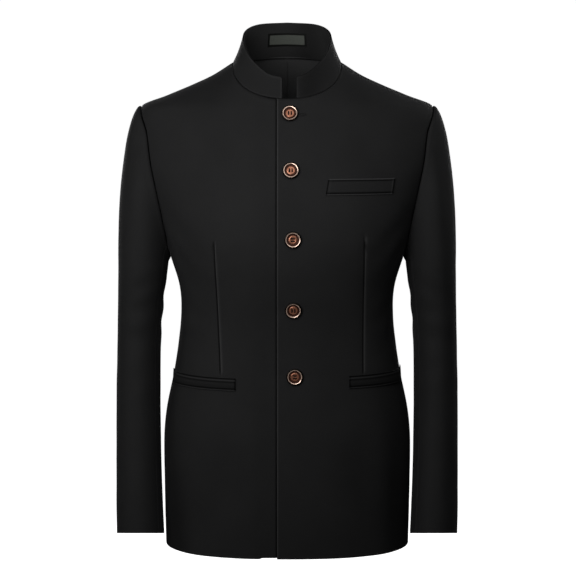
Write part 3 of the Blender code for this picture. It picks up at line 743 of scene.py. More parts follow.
def fold_depths(grid, folds, side, radius):
    """How far the soft folds draw each point inwards."""
    scale = math.radians(1.0) * radius
    around = grid[..., 3] * scale
    level = grid[..., 4]
    total = np.zeros(level.shape)
    for fold in named_rows(folds, FOLD_COLUMNS):
        if fold["side"] != side:
            continue
        start = np.array((fold["angle_1"] * scale, fold["level_1"]))
        run = np.array((fold["angle_2"] * scale, fold["level_2"])) - start
        along = ((around - start[0]) * run[0] + (level - start[1]) * run[1]) / (run @ run)
        t = np.clip(along, 0.0, 1.0)
        gap_a = around - start[0] - run[0] * t
        gap_b = level - start[1] - run[1] * t
        away = np.sqrt(gap_a**2 + gap_b**2)
        fade = smooth_step(along * FOLD_FADE) * smooth_step((1 - along) * FOLD_FADE)
        trough = bell(away, 0.0, fold["width"])
        ridge = FOLD_RIDGE * bell(away, FOLD_RIDGE_OUT * fold["width"], fold["width"])
        total += fold["depth"] * (trough - ridge) * (FOLD_END + (1 - FOLD_END) * fade)
    return total


def body_folds(grid, side):
    return fold_depths(grid, FOLDS, side, BODY_RADIUS) + uneven_depths(grid[..., :3])


def uneven_depths(points):
    """Faint unevenness of pressed cloth."""
    total = np.zeros(points.shape[:2])
    for size, depth in zip(UNEVEN_SIZES, UNEVEN_DEPTHS):
        total += depth * np.array([[noise.noise(Vector(p) * size) for p in row] for row in points])
    return total


# Materials

# Where noise is at its low and high ends, and what a tone is there
SLOW_RANGE = (0.3, 0.7)
THREAD_RANGE = (0.0, 1.35, 0.72, 1.22)
LINT_RANGE = (0.35, 0.75, 0.92, 1.16)
WEFT_SHARE = 0.35
WEFT_FINER = 1.3
ROUGHNESS_VARIATION = 0.04
EDGE_SMOOTHER = -0.06


def node(tree, kind, **values):
    made = tree.nodes.new(kind)
    for name, value in values.items():
        if name in made.inputs:
            made.inputs[name].default_value = value
        else:
            setattr(made, name, value)
    return made


def mix_colour(tree, factor, first, second, kind="MIX"):
    made = node(tree, "ShaderNodeMix", data_type="RGBA", blend_type=kind)
    for socket, value in ((made.inputs[0], factor), (made.inputs[6], first), (made.inputs[7], second)):
        if isinstance(value, bpy.types.NodeSocket):
            tree.links.new(value, socket)
        elif isinstance(value, (int, float)):
            socket.default_value = value
        else:
            socket.default_value = (*value, 1.0)
    return made.outputs[2]


def ramp(tree, factor, low, high, bottom=0.0, top=1.0):
    made = node(tree, "ShaderNodeMapRange")
    made.inputs["From Min"].default_value = low
    made.inputs["From Max"].default_value = high
    made.inputs["To Min"].default_value = bottom
    made.inputs["To Max"].default_value = top
    tree.links.new(factor, made.inputs["Value"])
    return made.outputs["Result"]


def new_material(name):
    """A material, its node tree and its shader."""
    made = bpy.data.materials.new(name)
    made.use_nodes = True
    return made, made.node_tree, made.node_tree.nodes["Principled BSDF"]


def texture(tree, kind, place, **values):
    made = node(tree, kind, **values)
    tree.links.new(place, made.inputs["Vector"])
    return made.outputs["Fac"]


def maths(tree, operation, *values):
    made = node(tree, "ShaderNodeMath", operation=operation)
    for socket, value in zip(made.inputs, values):
        if isinstance(value, bpy.types.NodeSocket):
            tree.links.new(value, socket)
        else:
            socket.default_value = value
    return made.outputs[0]


def add_bump(tree, shader, height, strength, distance):
    bump = node(tree, "ShaderNodeBump", Strength=strength, Distance=distance)
    tree.links.new(height, bump.inputs["Height"])
    tree.links.new(bump.outputs["Normal"], shader.inputs["Normal"])


def scaled(colour, share):
    return tuple(c * share for c in colour)


def cloth_material(name, colour, roughness, sheen, weave, twill_turn, weave_bump, variation, border):
    """Woven cloth: a fine twill, slow colour variation, lint, a border of its own tone, and the painted
    shade and highlights of the tone attribute.
    """
    made, tree, shader = new_material(name)
    uv = node(tree, "ShaderNodeUVMap").outputs["UV"]
    turned = node(tree, "ShaderNodeMapping", Rotation=(0.0, 0.0, math.radians(twill_turn)))
    tree.links.new(uv, turned.inputs["Vector"])
    twill = {"Scale": weave, "Distortion": 0.6, "Detail": 1.0, "Detail Scale": 0.6}
    rib = texture(tree, "ShaderNodeTexWave", turned.outputs["Vector"], **twill)
    weft = {"Scale": weave * WEFT_FINER, "Distortion": 0.4, "bands_direction": "Y"}
    weft = texture(tree, "ShaderNodeTexWave", uv, **weft)
    threads = maths(tree, "MULTIPLY_ADD", weft, WEFT_SHARE, rib)
    slow = texture(tree, "ShaderNodeTexNoise", uv, Scale=11.0, Detail=3.0)
    lint = texture(tree, "ShaderNodeTexNoise", uv, Scale=620.0, Detail=2.0)
    edge = node(tree, "ShaderNodeAttribute", attribute_name="edge").outputs["Fac"]

    varied = ramp(tree, slow, *SLOW_RANGE)
    base = mix_colour(tree, varied, scaled(colour, 1 - variation), scaled(colour, 1 + variation))
    # The border's tone; on the label it is a painted shade along its edges
    fade_from, full_at, border_tone = border
    base = mix_colour(tree, ramp(tree, edge, fade_from, full_at), base, scaled(colour, border_tone))
    # The tone attribute is painted light: painted shade in creases and seams, painted highlights beside
    # them
    painted_light_tone = node(tree, "ShaderNodeAttribute", attribute_name="tone").outputs["Fac"]
    thread_tone = ramp(tree, threads, *THREAD_RANGE)
    lint_tone = ramp(tree, lint, *LINT_RANGE)
    for tone in (thread_tone, lint_tone, painted_light_tone):
        grey = node(tree, "ShaderNodeCombineColor")
        for socket in grey.inputs:
            tree.links.new(tone, socket)
        base = mix_colour(tree, 1.0, base, grey.outputs[0], "MULTIPLY")
    tree.links.new(base, shader.inputs["Base Color"])

    rough_low, rough_high = roughness - ROUGHNESS_VARIATION, roughness + ROUGHNESS_VARIATION
    rough = ramp(tree, slow, *SLOW_RANGE, rough_low, rough_high)
    pressed = maths(tree, "MULTIPLY_ADD", edge, EDGE_SMOOTHER, rough)
    tree.links.new(pressed, shader.inputs["Roughness"])
    add_bump(tree, shader, threads, 0.6, weave_bump)
    shader.inputs["Sheen Weight"].default_value = sheen
    shader.inputs["Sheen Roughness"].default_value = 0.45
    shader.inputs["Sheen Tint"].default_value = (0.86, 0.87, 0.90, 1.0)
    shader.inputs["Specular IOR Level"].default_value = 0.05
    return made


def thread_material(name, colour):
    """Twisted thread."""
    made, tree, shader = new_material(name)
    place = node(tree, "ShaderNodeTexCoord").outputs["Object"]
    ply = {"Scale": 900.0, "Distortion": 1.0, "bands_direction": "DIAGONAL"}
    ply = texture(tree, "ShaderNodeTexWave", place, **ply)
    base = mix_colour(tree, ply, scaled(colour, THREAD_DARKER), scaled(colour, THREAD_LIGHTER))
    tree.links.new(base, shader.inputs["Base Color"])
    add_bump(tree, shader, ply, 0.5, 0.0001)
    shader.inputs["Roughness"].default_value = 0.70
    shader.inputs["Specular IOR Level"].default_value = 0.08
    return made


def copper_material():
    """Copper-coloured metal, bright on the rim and darkened in the ring inside it, with a painted shadow
    darkening the flank.
    """
    made, tree, shader = new_material("copper")
    place = node(tree, "ShaderNodeTexCoord").outputs["Object"]
    split = node(tree, "ShaderNodeSeparateXYZ")
    tree.links.new(place, split.inputs[0])
    squares = [maths(tree, "POWER", split.outputs[axis], 2.0) for axis in ("X", "Y")]
    radius = maths(tree, "SQRT", maths(tree, "ADD", *squares))
    inside = ramp(tree, radius, *COPPER_RING_INNER)
    outside = ramp(tree, radius, *COPPER_RING_OUTER, 1.0, 0.0)
    ring = maths(tree, "MULTIPLY", inside, outside)
    worn = texture(tree, "ShaderNodeTexNoise", place, Scale=420.0, Detail=3.0)
    patina = ramp(tree, worn, 0.50, 0.80, 0.0, 0.20)
    bright = mix_colour(tree, ramp(tree, radius, *COPPER_RIM), COPPER_MIDDLE, COPPER_BRIGHT)
    bright = mix_colour(tree, patina, bright, COPPER_MIDDLE)
    base = mix_colour(tree, ring, bright, COPPER_DARK)
    # A painted shadow round the flank
    base = mix_colour(tree, ramp(tree, radius, *COPPER_FLANK), base, COPPER_SHADED)
    tree.links.new(base, shader.inputs["Base Color"])
    shader.inputs["Metallic"].default_value = 0.55
    shader.inputs["Specular IOR Level"].default_value = 0.15
    tree.links.new(ramp(tree, ring, 0.0, 1.0, *COPPER_ROUGHNESS), shader.inputs["Roughness"])
    turned = texture(tree, "ShaderNodeTexNoise", place, Scale=2600.0, Detail=2.0)
    add_bump(tree, shader, turned, 0.10, 0.00003)
    return made


# How a cloth's border looks: where it fades out and is full on the edge attribute, and its tone. The
# label's darker border is a painted shade along its edges.
PRESSED = (0.35, 1.00, 1.12)
PAINTED_SHADE_BORDER = (0.22, 0.32, 0.05)
CLOTH_COLUMNS = (
    "name", "colour", "roughness", "sheen", "weave", "twill_turn", "weave_bump", "variation", "border"
)
CLOTHS = [
    ("suiting", (0.0150, 0.0150, 0.0152), 0.70, 0.02, 700.0, 63.0, 0.00006, 0.10, PRESSED),
    ("welt_cloth", (0.0120, 0.0120, 0.0122), 0.72, 0.02, 700.0, 63.0, 0.00006, 0.08, PRESSED),
    ("inside_cloth", (0.0170, 0.0170, 0.0171), 0.68, 0.02, 700.0, 63.0, 0.00006, 0.08, PRESSED),
    ("lining_cloth", (0.0400, 0.0400, 0.0404), 0.48, 0.02, 1100.0, 0.0, 0.00002, 0.08, PRESSED),
    ("label_cloth", (0.0600, 0.0650, 0.0570), 0.55, 0.10, 520.0, 0.0, 0.00005, 0.14, PAINTED_SHADE_BORDER),
]
THREAD_COLOUR = (0.0040, 0.0040, 0.0042)
HOLE_THREAD_COLOUR = (0.0150, 0.0150, 0.0155)
THREAD_DARKER = 0.6
THREAD_LIGHTER = 1.8

# The copper's colours, where each changes to the next from the button's middle out, and its roughness
COPPER_BRIGHT = (0.90, 0.66, 0.53)
COPPER_MIDDLE = (0.33, 0.14, 0.085)
COPPER_DARK = (0.040, 0.013, 0.008)
# COPPER_SHADED is a painted shadow round the button's flank, where it meets the cloth
COPPER_SHADED = (0.006, 0.004, 0.003)
COPPER_RING_INNER = (0.0056, 0.0064)
COPPER_RIM = (0.0070, 0.0074)
COPPER_RING_OUTER = (0.0088, 0.0094)
COPPER_FLANK = (0.0098, 0.0103)
COPPER_ROUGHNESS = (0.18, 0.50)

SUITING, WELT_CLOTH, INSIDE_CLOTH, LINING_CLOTH, LABEL_CLOTH = [
    cloth_material(**row) for row in named_rows(CLOTHS, CLOTH_COLUMNS)
]
THREAD = thread_material("thread", THREAD_COLOUR)
HOLE_THREAD = thread_material("hole_thread", HOLE_THREAD_COLOUR)
COPPER = copper_material()


# Pieces

HALF_GAPS = {"back": BACK_SLIT, "back_lining": BACK_SLIT}
PANEL_BORDERS = {"first": "seam", "last": "seam", "bottom": "free", "top": "seam"}
ALL_FREE = dict.fromkeys(PANEL_BORDERS, "free")
ROOT = "root"


def finish_piece(piece, nodes=()):
    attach(piece, ROOT)
    if nodes:
        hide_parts(*nodes)
    return piece


def mesh_piece(name, vertices, faces, materials):
    mesh = bpy.data.meshes.new(name)
    mesh.from_pydata([tuple(v) for v in vertices], [], faces)
    for material in materials:
        mesh.materials.append(material)
    mesh.shade_smooth()
    mesh.set_sharp_from_angle(angle=math.radians(SHARP_ANGLE))
    piece = bpy.data.objects.new(name, mesh)
    bpy.context.collection.objects.link(piece)
    return piece


def shell_piece(name, outer, inner, edge, tone, materials, flip):
    """A closed shell between two grids of points. Edge is 1 at the pressed edges and 0 away from them,
    and tone is painted light: below 1 a painted shade, above 1 a painted highlight, 1 where it is plain."""
    rows, columns = outer.shape[:2]
    count = rows * columns
    ids = np.arange(count).reshape(rows, columns)
    quads = np.stack([ids[:-1, :-1], ids[:-1, 1:], ids[1:, 1:], ids[1:, :-1]], axis=-1).reshape(-1, 4)
    ring = list(ids[0]) + list(ids[1:, -1]) + list(ids[-1, -2::-1]) + list(ids[-2:0:-1, 0])
    around = np.array(ring)
    after = np.roll(around, -1)
    walls = np.stack([after, around, around + count, after + count], axis=-1)
    faces = np.concatenate([quads, quads[:, ::-1] + count, walls])
    if flip:
        faces = faces[:, ::-1]
    vertices = np.concatenate([outer.reshape(-1, 3), inner.reshape(-1, 3)])
    piece = mesh_piece(name, vertices, faces.tolist(), materials)
    mesh = piece.data
    if len(materials) > 1:
        inside = np.zeros(len(faces), dtype=np.int32)
        inside[len(quads):2 * len(quads)] = 1
        mesh.polygons.foreach_set("material_index", inside)
    lengths = border_distances(outer)
    flat = np.stack([lengths["first"], lengths["bottom"]], axis=-1).reshape(-1, 2)
    corner = np.empty(len(mesh.loops), dtype=np.int32)
    mesh.loops.foreach_get("vertex_index", corner)
    layer = mesh.uv_layers.new(name="UVMap")
    layer.uv.foreach_set("vector", flat[corner % count].astype(np.float32).ravel())
    for key, values in (("edge", edge), ("tone", tone)):
        mark = mesh.attributes.new(key, "FLOAT", "POINT")
        mark.data.foreach_set("value", np.tile(values.ravel(), 2).astype(np.float32))
    return piece


def make_cloth(name, key, grid, borders, wall, materials, shape=0.0, side="left", lift=0.0, tone=1.0):
    """A cloth piece from its grid, which stands for the node of its name. Borders says what each border
    is, a seam or a free edge, and shape is how far each point is drawn inwards."""
    half_gap = HALF_GAPS.get(key, SEAM_GAP / 2)
    points = drawn_in(grid[..., :3], half_gap) if "seam" in borders.values() else grid[..., :3].copy()
    normals = grid_normals(grid[..., :3])
    distances = border_distances(grid[..., :3])
    sink = np.zeros(points.shape[:2])
    inner_sink = np.zeros(points.shape[:2])
    near = np.full(points.shape[:2], 1.0)
    for border, kind in borders.items():
        distance = distances[border]
        if kind == "seam":
            sink = np.where(np.abs(seam_roll(distance)) > np.abs(sink), seam_roll(distance), sink)
        else:
            sink = np.maximum(sink, free_roll(distance, wall))
            inner_sink = np.maximum(inner_sink, free_roll(distance, wall))
        near = np.minimum(near, distance)
    base = shape - lift
    outer = points - normals * (base + sink)[..., None]
    inner = points - normals * (base + wall - inner_sink)[..., None]
    if side == "right":
        outer[..., 0] *= -1
        inner[..., 0] *= -1
    edge = np.exp(-near / EDGE_FADE)
    tone = np.broadcast_to(tone, edge.shape)
    piece = shell_piece(name + "_cloth", outer, inner, edge, tone, materials, flip=side == "right")
    finish_piece(piece, [name])


def painted_line_light(gap):
    """Painted light along a pressed line: painted shade in its crease and a painted highlight beside it,
    where the gap is positive.
    """
    dark = LINE_DARK * bell(gap, 0.0, LINE_DARK_REACH)
    return LINE_LIT * bell(gap, LINE_LIT_AT, LINE_LIT_REACH) - dark


def make_front(side):
    dart_column = LAP_STEPS + COLUMNS_TO_DART
    lines = [dart_column] if side == "left" else [LAP_EDGE_STEP, dart_column]
    grid = refined(body_grid(front_places(side)), columns=lines)
    points = grid[..., :3]
    across = border_distances(points)["first"]
    dart_at = dart_column + len(EDGE_LOOPS) * 2 * len(lines)
    lines_out = [dart_line(side, level) for level in grid[:, dart_at, 4]]
    bend = np.abs(points[:, dart_at, 0]) - np.array(lines_out)
    gap = across - across[:, dart_at:dart_at + 1] + bend[:, None]
    away = np.abs(gap)
    share = dart_share(side, grid[..., 4])[1]
    strength = smooth_step(share * DART_FADE + 0.5) * smooth_step((1 - share) * DART_FADE)
    shape = DART_DEPTH * np.exp(-((away / DART_REACH) ** CREASE_POWER)) * strength
    pinch_fade = smooth_step(share * DART_PINCH_FADE) * strength
    shape += DART_PINCH * bell(away, 0.0, DART_PINCH_REACH) * pinch_fade
    shape += body_folds(grid, side)
    shape += button_pulls(grid, side)
    if side == "right":
        lap = SOLID_WALL + LYING_GAP + GAP_SPARE
        shape += lap * (1 - smooth_step((points[..., 0] - LAP_INNER) / (LAP_FADE - LAP_INNER)))
    toward = 1.0 if side == "left" else -1.0
    # Painted light on the darts: painted shade in the crease and a painted highlight on the side towards
    # the light
    tone = 1 + painted_line_light(gap * toward) * strength
    if side == "left":
        # A painted highlight along the left front's edge
        tone += EDGE_LIT * bell(across, EDGE_LIT_AT, LINE_LIT_REACH)
    else:
        edge_at = across[:, LAP_EDGE_STEP + len(EDGE_LOOPS) * 2][:, None]
        groove = bell(across, edge_at, EDGE_GROOVE_REACH)
        shape += EDGE_GROOVE_DEPTH * groove
        # A painted shade in the groove beside the left front's edge
        tone -= LINE_DARK * groove
    borders = PANEL_BORDERS | {"first": "free"}
    materials = [SUITING, INSIDE_CLOTH]
    make_cloth("front_" + side, "front", grid, borders, WALL, materials, shape, side, tone=tone)


PULL_WIDTH = 0.0060
PULL_LENGTH = 0.034
PULL_DEPTH = 0.0007


def button_pulls(grid, side):
    """Small strains in the cloth on each side of the buttons."""
    total = np.zeros(grid.shape[:2])
    mirror = 1.0 if side == "left" else -1.0
    for button in named_rows(BUTTONS, BUTTON_COLUMNS):
        gap_x = grid[..., 0] * mirror - button["out"]
        gap_z = grid[..., 4] - button["level"]
        spread = PULL_WIDTH * (1 + np.abs(gap_x) / PULL_LENGTH)
        total += PULL_DEPTH * bell(gap_z, 0.0, spread) * bell(gap_x, 0.0, PULL_LENGTH)
    return total


def make_panel(key, places, side):
    """A back or a side panel, which has no lines of its own."""
    grid = refined(body_grid(places))
    materials = [SUITING, LINING_CLOTH]
    make_cloth(f"{key}_{side}", key, grid, PANEL_BORDERS, WALL, materials, body_folds(grid, side), side)


def sleeve_ring(arc, level):
    """A point of the sleeve's tube below its head, at an angle as on the armhole."""
    inner, outer, centre, depth, swing = [
        table_value(SLEEVE, SLEEVE_COLUMNS, name, level) for name in SLEEVE_COLUMNS[1:]
    ]
    a = math.radians(arc)
    power = 2 / SLEEVE_SQUARE
    x = (inner + outer) / 2 - (outer - inner) / 2 * signed_power(math.cos(a), power)
    across = -depth * signed_power(math.sin(a), power)
    tip = math.radians(swing)
    return Vector((x, centre + across * math.cos(tip), level - across * math.sin(tip)))


def sleeve_point(arc, along):
    """A point of the sleeve: along is 0 at the armhole, 1 at the end of its head and 2 at the cuff."""
    if along > 1.0:
        return sleeve_ring(arc, lerp(SLEEVE[0][0], SLEEVE[-1][0], along - 1.0))
    wrapped = (arc + 180.0) % 360.0 - 180.0
    a = math.radians(wrapped)
    start = body_point(*armhole_place(wrapped))
    end = sleeve_ring(wrapped, SLEEVE[0][0])
    raised = (1 - math.cos(a)) / 2
    upwards = lerp(-CAP_UNDER_DROP, CAP_LIFT, raised**CAP_LIFT_BEND)
    leave = Vector((1.0, -CAP_FORWARD * math.sin(a), upwards))
    leave.normalize()
    start += leave * (SEAM_GAP + GAP_SPARE)
    reach = lerp(CAP_UNDER_REACH, CAP_REACH, raised)
    drop = Vector((0.0, 0.0, CAP_DROP * (start.z - end.z)))
    t = along
    return (
        start * (1 - t) ** 3
        + (start + leave * reach) * 3 * t * (1 - t) ** 2
        + (end + drop) * 3 * t**2 * (1 - t)
        + end * t**3
    )


def sleeve_grid(arcs):
    alongs = [(i / CAP_ROWS) ** CAP_ROW_BEND for i in range(CAP_ROWS)]
    alongs += [1.0 + i / SLEEVE_ROWS for i in range(SLEEVE_ROWS + 1)]
    rows = []
    for along in reversed(alongs):
        row = []
        for arc in arcs:
            point = sleeve_point(arc, along)
            row.append((*point, arc, point.z))
        rows.append(row)
    return np.array(rows)


def make_sleeve(side):
    """The two pieces of a sleeve, split at its front seam and its back seam."""
    under = steps_between(SLEEVE_BACK_SEAM_ARC, SLEEVE_FRONT_SEAM_ARC, UNDER_SLEEVE_COLUMNS)
    top = steps_between(SLEEVE_FRONT_SEAM_ARC, SLEEVE_BACK_SEAM_ARC + 360.0, TOP_SLEEVE_COLUMNS)
    for key, arcs in (("under_sleeve", under), ("top_sleeve", top)):
        grid = refined(sleeve_grid(arcs))
        distances = border_distances(grid[..., :3])
        shape = fold_depths(grid, SLEEVE_FOLDS, side, SLEEVE_RADIUS) + uneven_depths(grid[..., :3])
        shape *= smooth_step(distances["top"] / CAP_FOLD_FADE)
        shape += CUFF_STITCH_DEPTH * bell(distances["bottom"], CUFF_STITCH_UP, CUFF_STITCH_REACH)
        materials = [SUITING, LINING_CLOTH]
        make_cloth(f"{key}_{side}", key, grid, PANEL_BORDERS, WALL, materials, shape, side)


def collar_point(turn, up):
    """A point of the collar's outer face: turn runs from the centre front by the left to the back,
    and on to 360 by the right. Up is 0 at the neck seam and 1 at the top edge."""
    half_turn = turn if turn <= 180.0 else 360.0 - turn
    t = math.radians(half_turn)
    angle, level = neck_place(half_turn)
    base = body_point(angle, level)
    depth = COLLAR_TOP_FRONT if half_turn < 90.0 else COLLAR_TOP_BACK
    power = 2 / NECK_SQUARE
    top = Vector((
        COLLAR_TOP_HALF_WIDTH * math.sin(t) ** power,
        -depth * signed_power(math.cos(t), power),
        table_value(COLLAR_TOP, COLLAR_COLUMNS, "height", half_turn),
    ))
    rise = top - base
    start = base + rise.normalized() * COLLAR_SEAT
    out = Vector((base.x, base.y, 0.0)).normalized()
    point = start.lerp(top, up) + out * COLLAR_BOW * 4 * up * (1 - up)
    if turn > 180.0:
        point.x = -point.x
    return point


def collar_grid(front_up, back_up):
    """The collar's face, whose two ends stand upright and have slightly rounded top corners."""
    rows = []
    side_start, side_end = COLLAR_START_SIDE
    height = (collar_point(10.0, 1.0) - collar_point(10.0, 0.0)).length
    power = NECK_SQUARE / 2
    for j in range(COLLAR_ROWS + 1):
        up = lerp(front_up, 1.0, j / COLLAR_ROWS)
        half_width = lerp(NECK_HALF_WIDTH, COLLAR_TOP_HALF_WIDTH, up)
        first = math.degrees(math.asin((COLLAR_END_LEFT / half_width) ** power))
        last = 360.0 - math.degrees(math.asin((-COLLAR_END_RIGHT / half_width) ** power))
        row = []
        for turn in steps_between(first, last, COLLAR_STEPS):
            end = collar_point(first if turn < 180.0 else last, up)
            away = min((collar_point(turn, up) - end).length, COLLAR_CORNER)
            drop = COLLAR_CORNER - math.sqrt(COLLAR_CORNER**2 - (COLLAR_CORNER - away) ** 2)
            share = (min(turn, 360.0 - turn) - side_start) / (side_end - side_start)
            first_up = lerp(front_up, back_up, float(smooth_step(share)))
            if front_up > 0.0:
                dip = (1 + math.cos(math.radians(turn - 180.0) * 2)) / 2
                first_up += COLLAR_BACK_DROP * dip * (share > 0)
            raised = lerp(first_up, 1.0 - drop / height, j / COLLAR_ROWS)
            row.append((*collar_point(turn, raised), turn, raised))
        rows.append(row)
    return np.array(rows)


def collar_tone(distances, name):
    """Painted light on the collar: painted shade along its turned edges with a painted highlight beside
    that, and painted shade along the inner collar's seam.
    """
    if name == "collar_inner":
        return 1 - COLLAR_SEAM_DARK * bell(distances["bottom"], 0.0, COLLAR_SEAM_REACH)
    near = np.minimum(np.minimum(distances["first"], distances["last"]), distances["top"])
    lit = COLLAR_LIT * bell(near, LINE_LIT_AT, LINE_LIT_REACH)
    return 1 + lit - LINE_DARK * bell(near, 0.0, LINE_DARK_REACH)


def make_collar():
    for start in named_rows(COLLAR_STARTS, COLLAR_START_COLUMNS):
        name = start["name"]
        lift = 0.0 if name == "collar_outer" else -(COLLAR_WALL + LYING_GAP)
        grid = refined(collar_grid(start["front_up"], start["back_up"]))
        borders = ALL_FREE | {"bottom": "seam"}
        material = SUITING if name == "collar_outer" else INSIDE_CLOTH
        tone = collar_tone(border_distances(grid[..., :3]), name)
        # Painted shade over the collar beside the front, on the wearer's left
        tone = tone * (1 - COLLAR_SHADE * bell(grid[..., 0], COLLAR_SHADE_AT, COLLAR_SHADE_REACH))
        make_cloth(name, name, grid, borders, COLLAR_WALL, [material], lift=lift, tone=tone)


def make_label():
    """The bare label, sewn flat on the inner collar at the back of the neck."""
    half_turn = 0.0
    while abs(collar_point(180.0 - half_turn, LABEL_BOTTOM).x) < LABEL_HALF_WIDTH:
        half_turn += LABEL_SEARCH_STEP
    rows = []
    for up in steps_between(LABEL_BOTTOM, LABEL_BOTTOM + LABEL_HEIGHT, LABEL_ROWS):
        turns = steps_between(180.0 - half_turn, 180.0 + half_turn, LABEL_STEPS)
        rows.append([(*collar_point(turn, up), turn, up) for turn in turns])
    grid = refined(np.array(rows))
    depth = 2 * COLLAR_WALL + LYING_GAP + LABEL_GAP
    make_cloth("neck_label", "neck_label", grid, ALL_FREE, LABEL_WALL, [LABEL_CLOTH], lift=-depth)


def make_lining():
    """The lining inside the top of the back, as far down as it shows through the neck."""
    places = [row[-int(len(row) * LINING_SHARE):] for row in back_places()[-LINING_ROWS:]]
    half = body_grid(places)
    other = half[:, -2::-1].copy()
    other[..., 0] *= -1
    other[..., 3] = 360.0 - other[..., 3]
    grid = np.concatenate([half, other], axis=1)
    centre = half.shape[1] - 1
    grid = refined(grid, columns=[centre])
    across = border_distances(grid[..., :3])["first"]
    middle = across[:, centre + len(EDGE_LOOPS) * 2][:, None]
    away = np.abs(across - middle)
    shape = PLEAT_DEPTH * bell(away, 0.0, PLEAT_REACH)
    shape -= PLEAT_SWELL * bell(away, PLEAT_SWELL_AT, PLEAT_SWELL_REACH)
    shape *= smooth_step(border_distances(grid[..., :3])["top"] / PLEAT_FADE)
    borders = PANEL_BORDERS | {"bottom": "seam"}
    lift = -(SOLID_WALL + LYING_GAP)
    make_cloth("back_lining", "back_lining", grid, borders, LINING_WALL, [LINING_CLOTH], shape, lift=lift)


def make_welt(welt):
    """A pocket welt: a strip lying on a front, made from the body's face and moved out."""
    top = welt["top"]
    start, end = angle_at(welt["front_out"], top), angle_at(welt["back_out"], top)
    rows = []
    for t in steps_between(0.0, 1.0, WELT_ROWS):
        level = lerp(welt["bottom"], top, t)
        row = []
        for angle in steps_between(start, end, WELT_STEPS):
            out = body_point(angle, top).x - welt["slant"] * (1 - t)
            place = (angle_at(out, level), level)
            row.append((*body_point(*place), *place))
        rows.append(row)
    grid = refined(np.array(rows))
    shape = body_folds(grid, welt["side"])
    lift = LYING_GAP + 2 * GAP_SPARE + WELT_WALL
    distances = border_distances(grid[..., :3])
    kind = "chest" if welt["name"] == "chest_welt" else "pocket"
    # Painted shade and painted highlights along the welt's borders
    tone = np.ones(shape.shape)
    for band in named_rows(WELT_BANDS, WELT_BAND_COLUMNS):
        if band["lip"] == kind:
            tone += band["change"] * bell(distances[band["border"]], band["at"], band["reach"])
    tone = np.clip(tone, *TONE_LIMITS)
    ahead = smooth_step(distances["last"] / LIP_FADE)
    shape -= LIP_RISE * bell(distances["top"], LIP_DOWN, LIP_REACH) * welt["lip"] * ahead
    material = SUITING if kind == "chest" else WELT_CLOTH
    name, side = welt["name"], welt["side"]
    make_cloth(name, name, grid, ALL_FREE, WELT_WALL, [material], shape, side, lift=lift, tone=tone)


def button_mesh():
    """A turned disc with a raised rim, a ring sunk inside it and a flat middle, pierced by four holes."""
    bm = bmesh.new()
    rings = []
    for radius, height in BUTTON_PROFILE:
        if radius == 0.0:
            rings.append([bm.verts.new((0.0, 0.0, height))])
            continue
        turns = [2 * math.pi * k / BUTTON_SIDES for k in range(BUTTON_SIDES)]
        rings.append([bm.verts.new((radius * math.cos(a), radius * math.sin(a), height)) for a in turns])
    for low, high in zip(rings, rings[1:]):
        for k in range(BUTTON_SIDES):
            n = (k + 1) % BUTTON_SIDES
            corners = [low[k % len(low)], low[n % len(low)], high[n % len(high)], high[k % len(high)]]
            bm.faces.new(list(dict.fromkeys(corners)))
    bmesh.ops.recalc_face_normals(bm, faces=bm.faces)
    mesh = bpy.data.meshes.new("button")
    bm.to_mesh(mesh)
    bm.free()
    pins = bmesh.new()
    for k in range(BUTTON_HOLES):
        a = math.pi / 4 + k * 2 * math.pi / BUTTON_HOLES
        made = bmesh.ops.create_cone(
            pins,
            cap_ends=True,
            segments=BUTTON_HOLE_SIDES,
            radius1=BUTTON_HOLE_RADIUS,
            radius2=BUTTON_HOLE_RADIUS,
            depth=PIN_LENGTH,
        )
        place = Vector((BUTTON_HOLE_OUT * math.cos(a), BUTTON_HOLE_OUT * math.sin(a), PIN_LEVEL))
        bmesh.ops.translate(pins, verts=made["verts"], vec=place)
    pin_mesh = bpy.data.meshes.new("pins")
    pins.to_mesh(pin_mesh)
    pins.free()
    blank = bpy.data.objects.new("blank", mesh)
    cutter = bpy.data.objects.new("cutter", pin_mesh)
    for thing in (blank, cutter):
        bpy.context.collection.objects.link(thing)
    holes = blank.modifiers.new("holes", "BOOLEAN")
    holes.operation = "DIFFERENCE"
    holes.object = cutter
    graph = bpy.context.evaluated_depsgraph_get()
    pierced = bpy.data.meshes.new_from_object(blank.evaluated_get(graph))
    for thing in (blank, cutter):
        bpy.data.objects.remove(thing)
    pierced.materials.clear()
    pierced.materials.append(COPPER)
    pierced.shade_smooth()
    pierced.set_sharp_from_angle(angle=math.radians(BUTTON_SHARP_ANGLE))
    return pierced


def tube(points, radius, sides=8):
    """Vertices and faces of a closed tube along points, drawn to a blunt end."""
    vertices = []
    faces = []
    last = len(points) - 1
    for i, point in enumerate(points):
        way = (points[min(i + 1, last)] - points[max(i - 1, 0)]).normalized()
        across = way.orthogonal().normalized()
        other = way.cross(across)
        size = radius * (TUBE_END if i in (0, last) else 1.0)
        for k in range(sides):
            a = 2 * math.pi * k / sides
            vertices.append(point + (across * math.cos(a) + other * math.sin(a)) * size)
    for i in range(last):
        for k in range(sides):
            n = (k + 1) % sides
            faces.append((i * sides + k, i * sides + n, (i + 1) * sides + n, (i + 1) * sides + k))
    faces.append(tuple(reversed(range(sides))))
    faces.append(tuple(last * sides + k for k in range(sides)))
    return vertices, faces


def joined(parts):
    vertices = []
    faces = []
    for more, shapes in parts:
        start = len(vertices)
        vertices += more
        faces += [tuple(start + k for k in face) for face in shapes]
    return vertices, faces


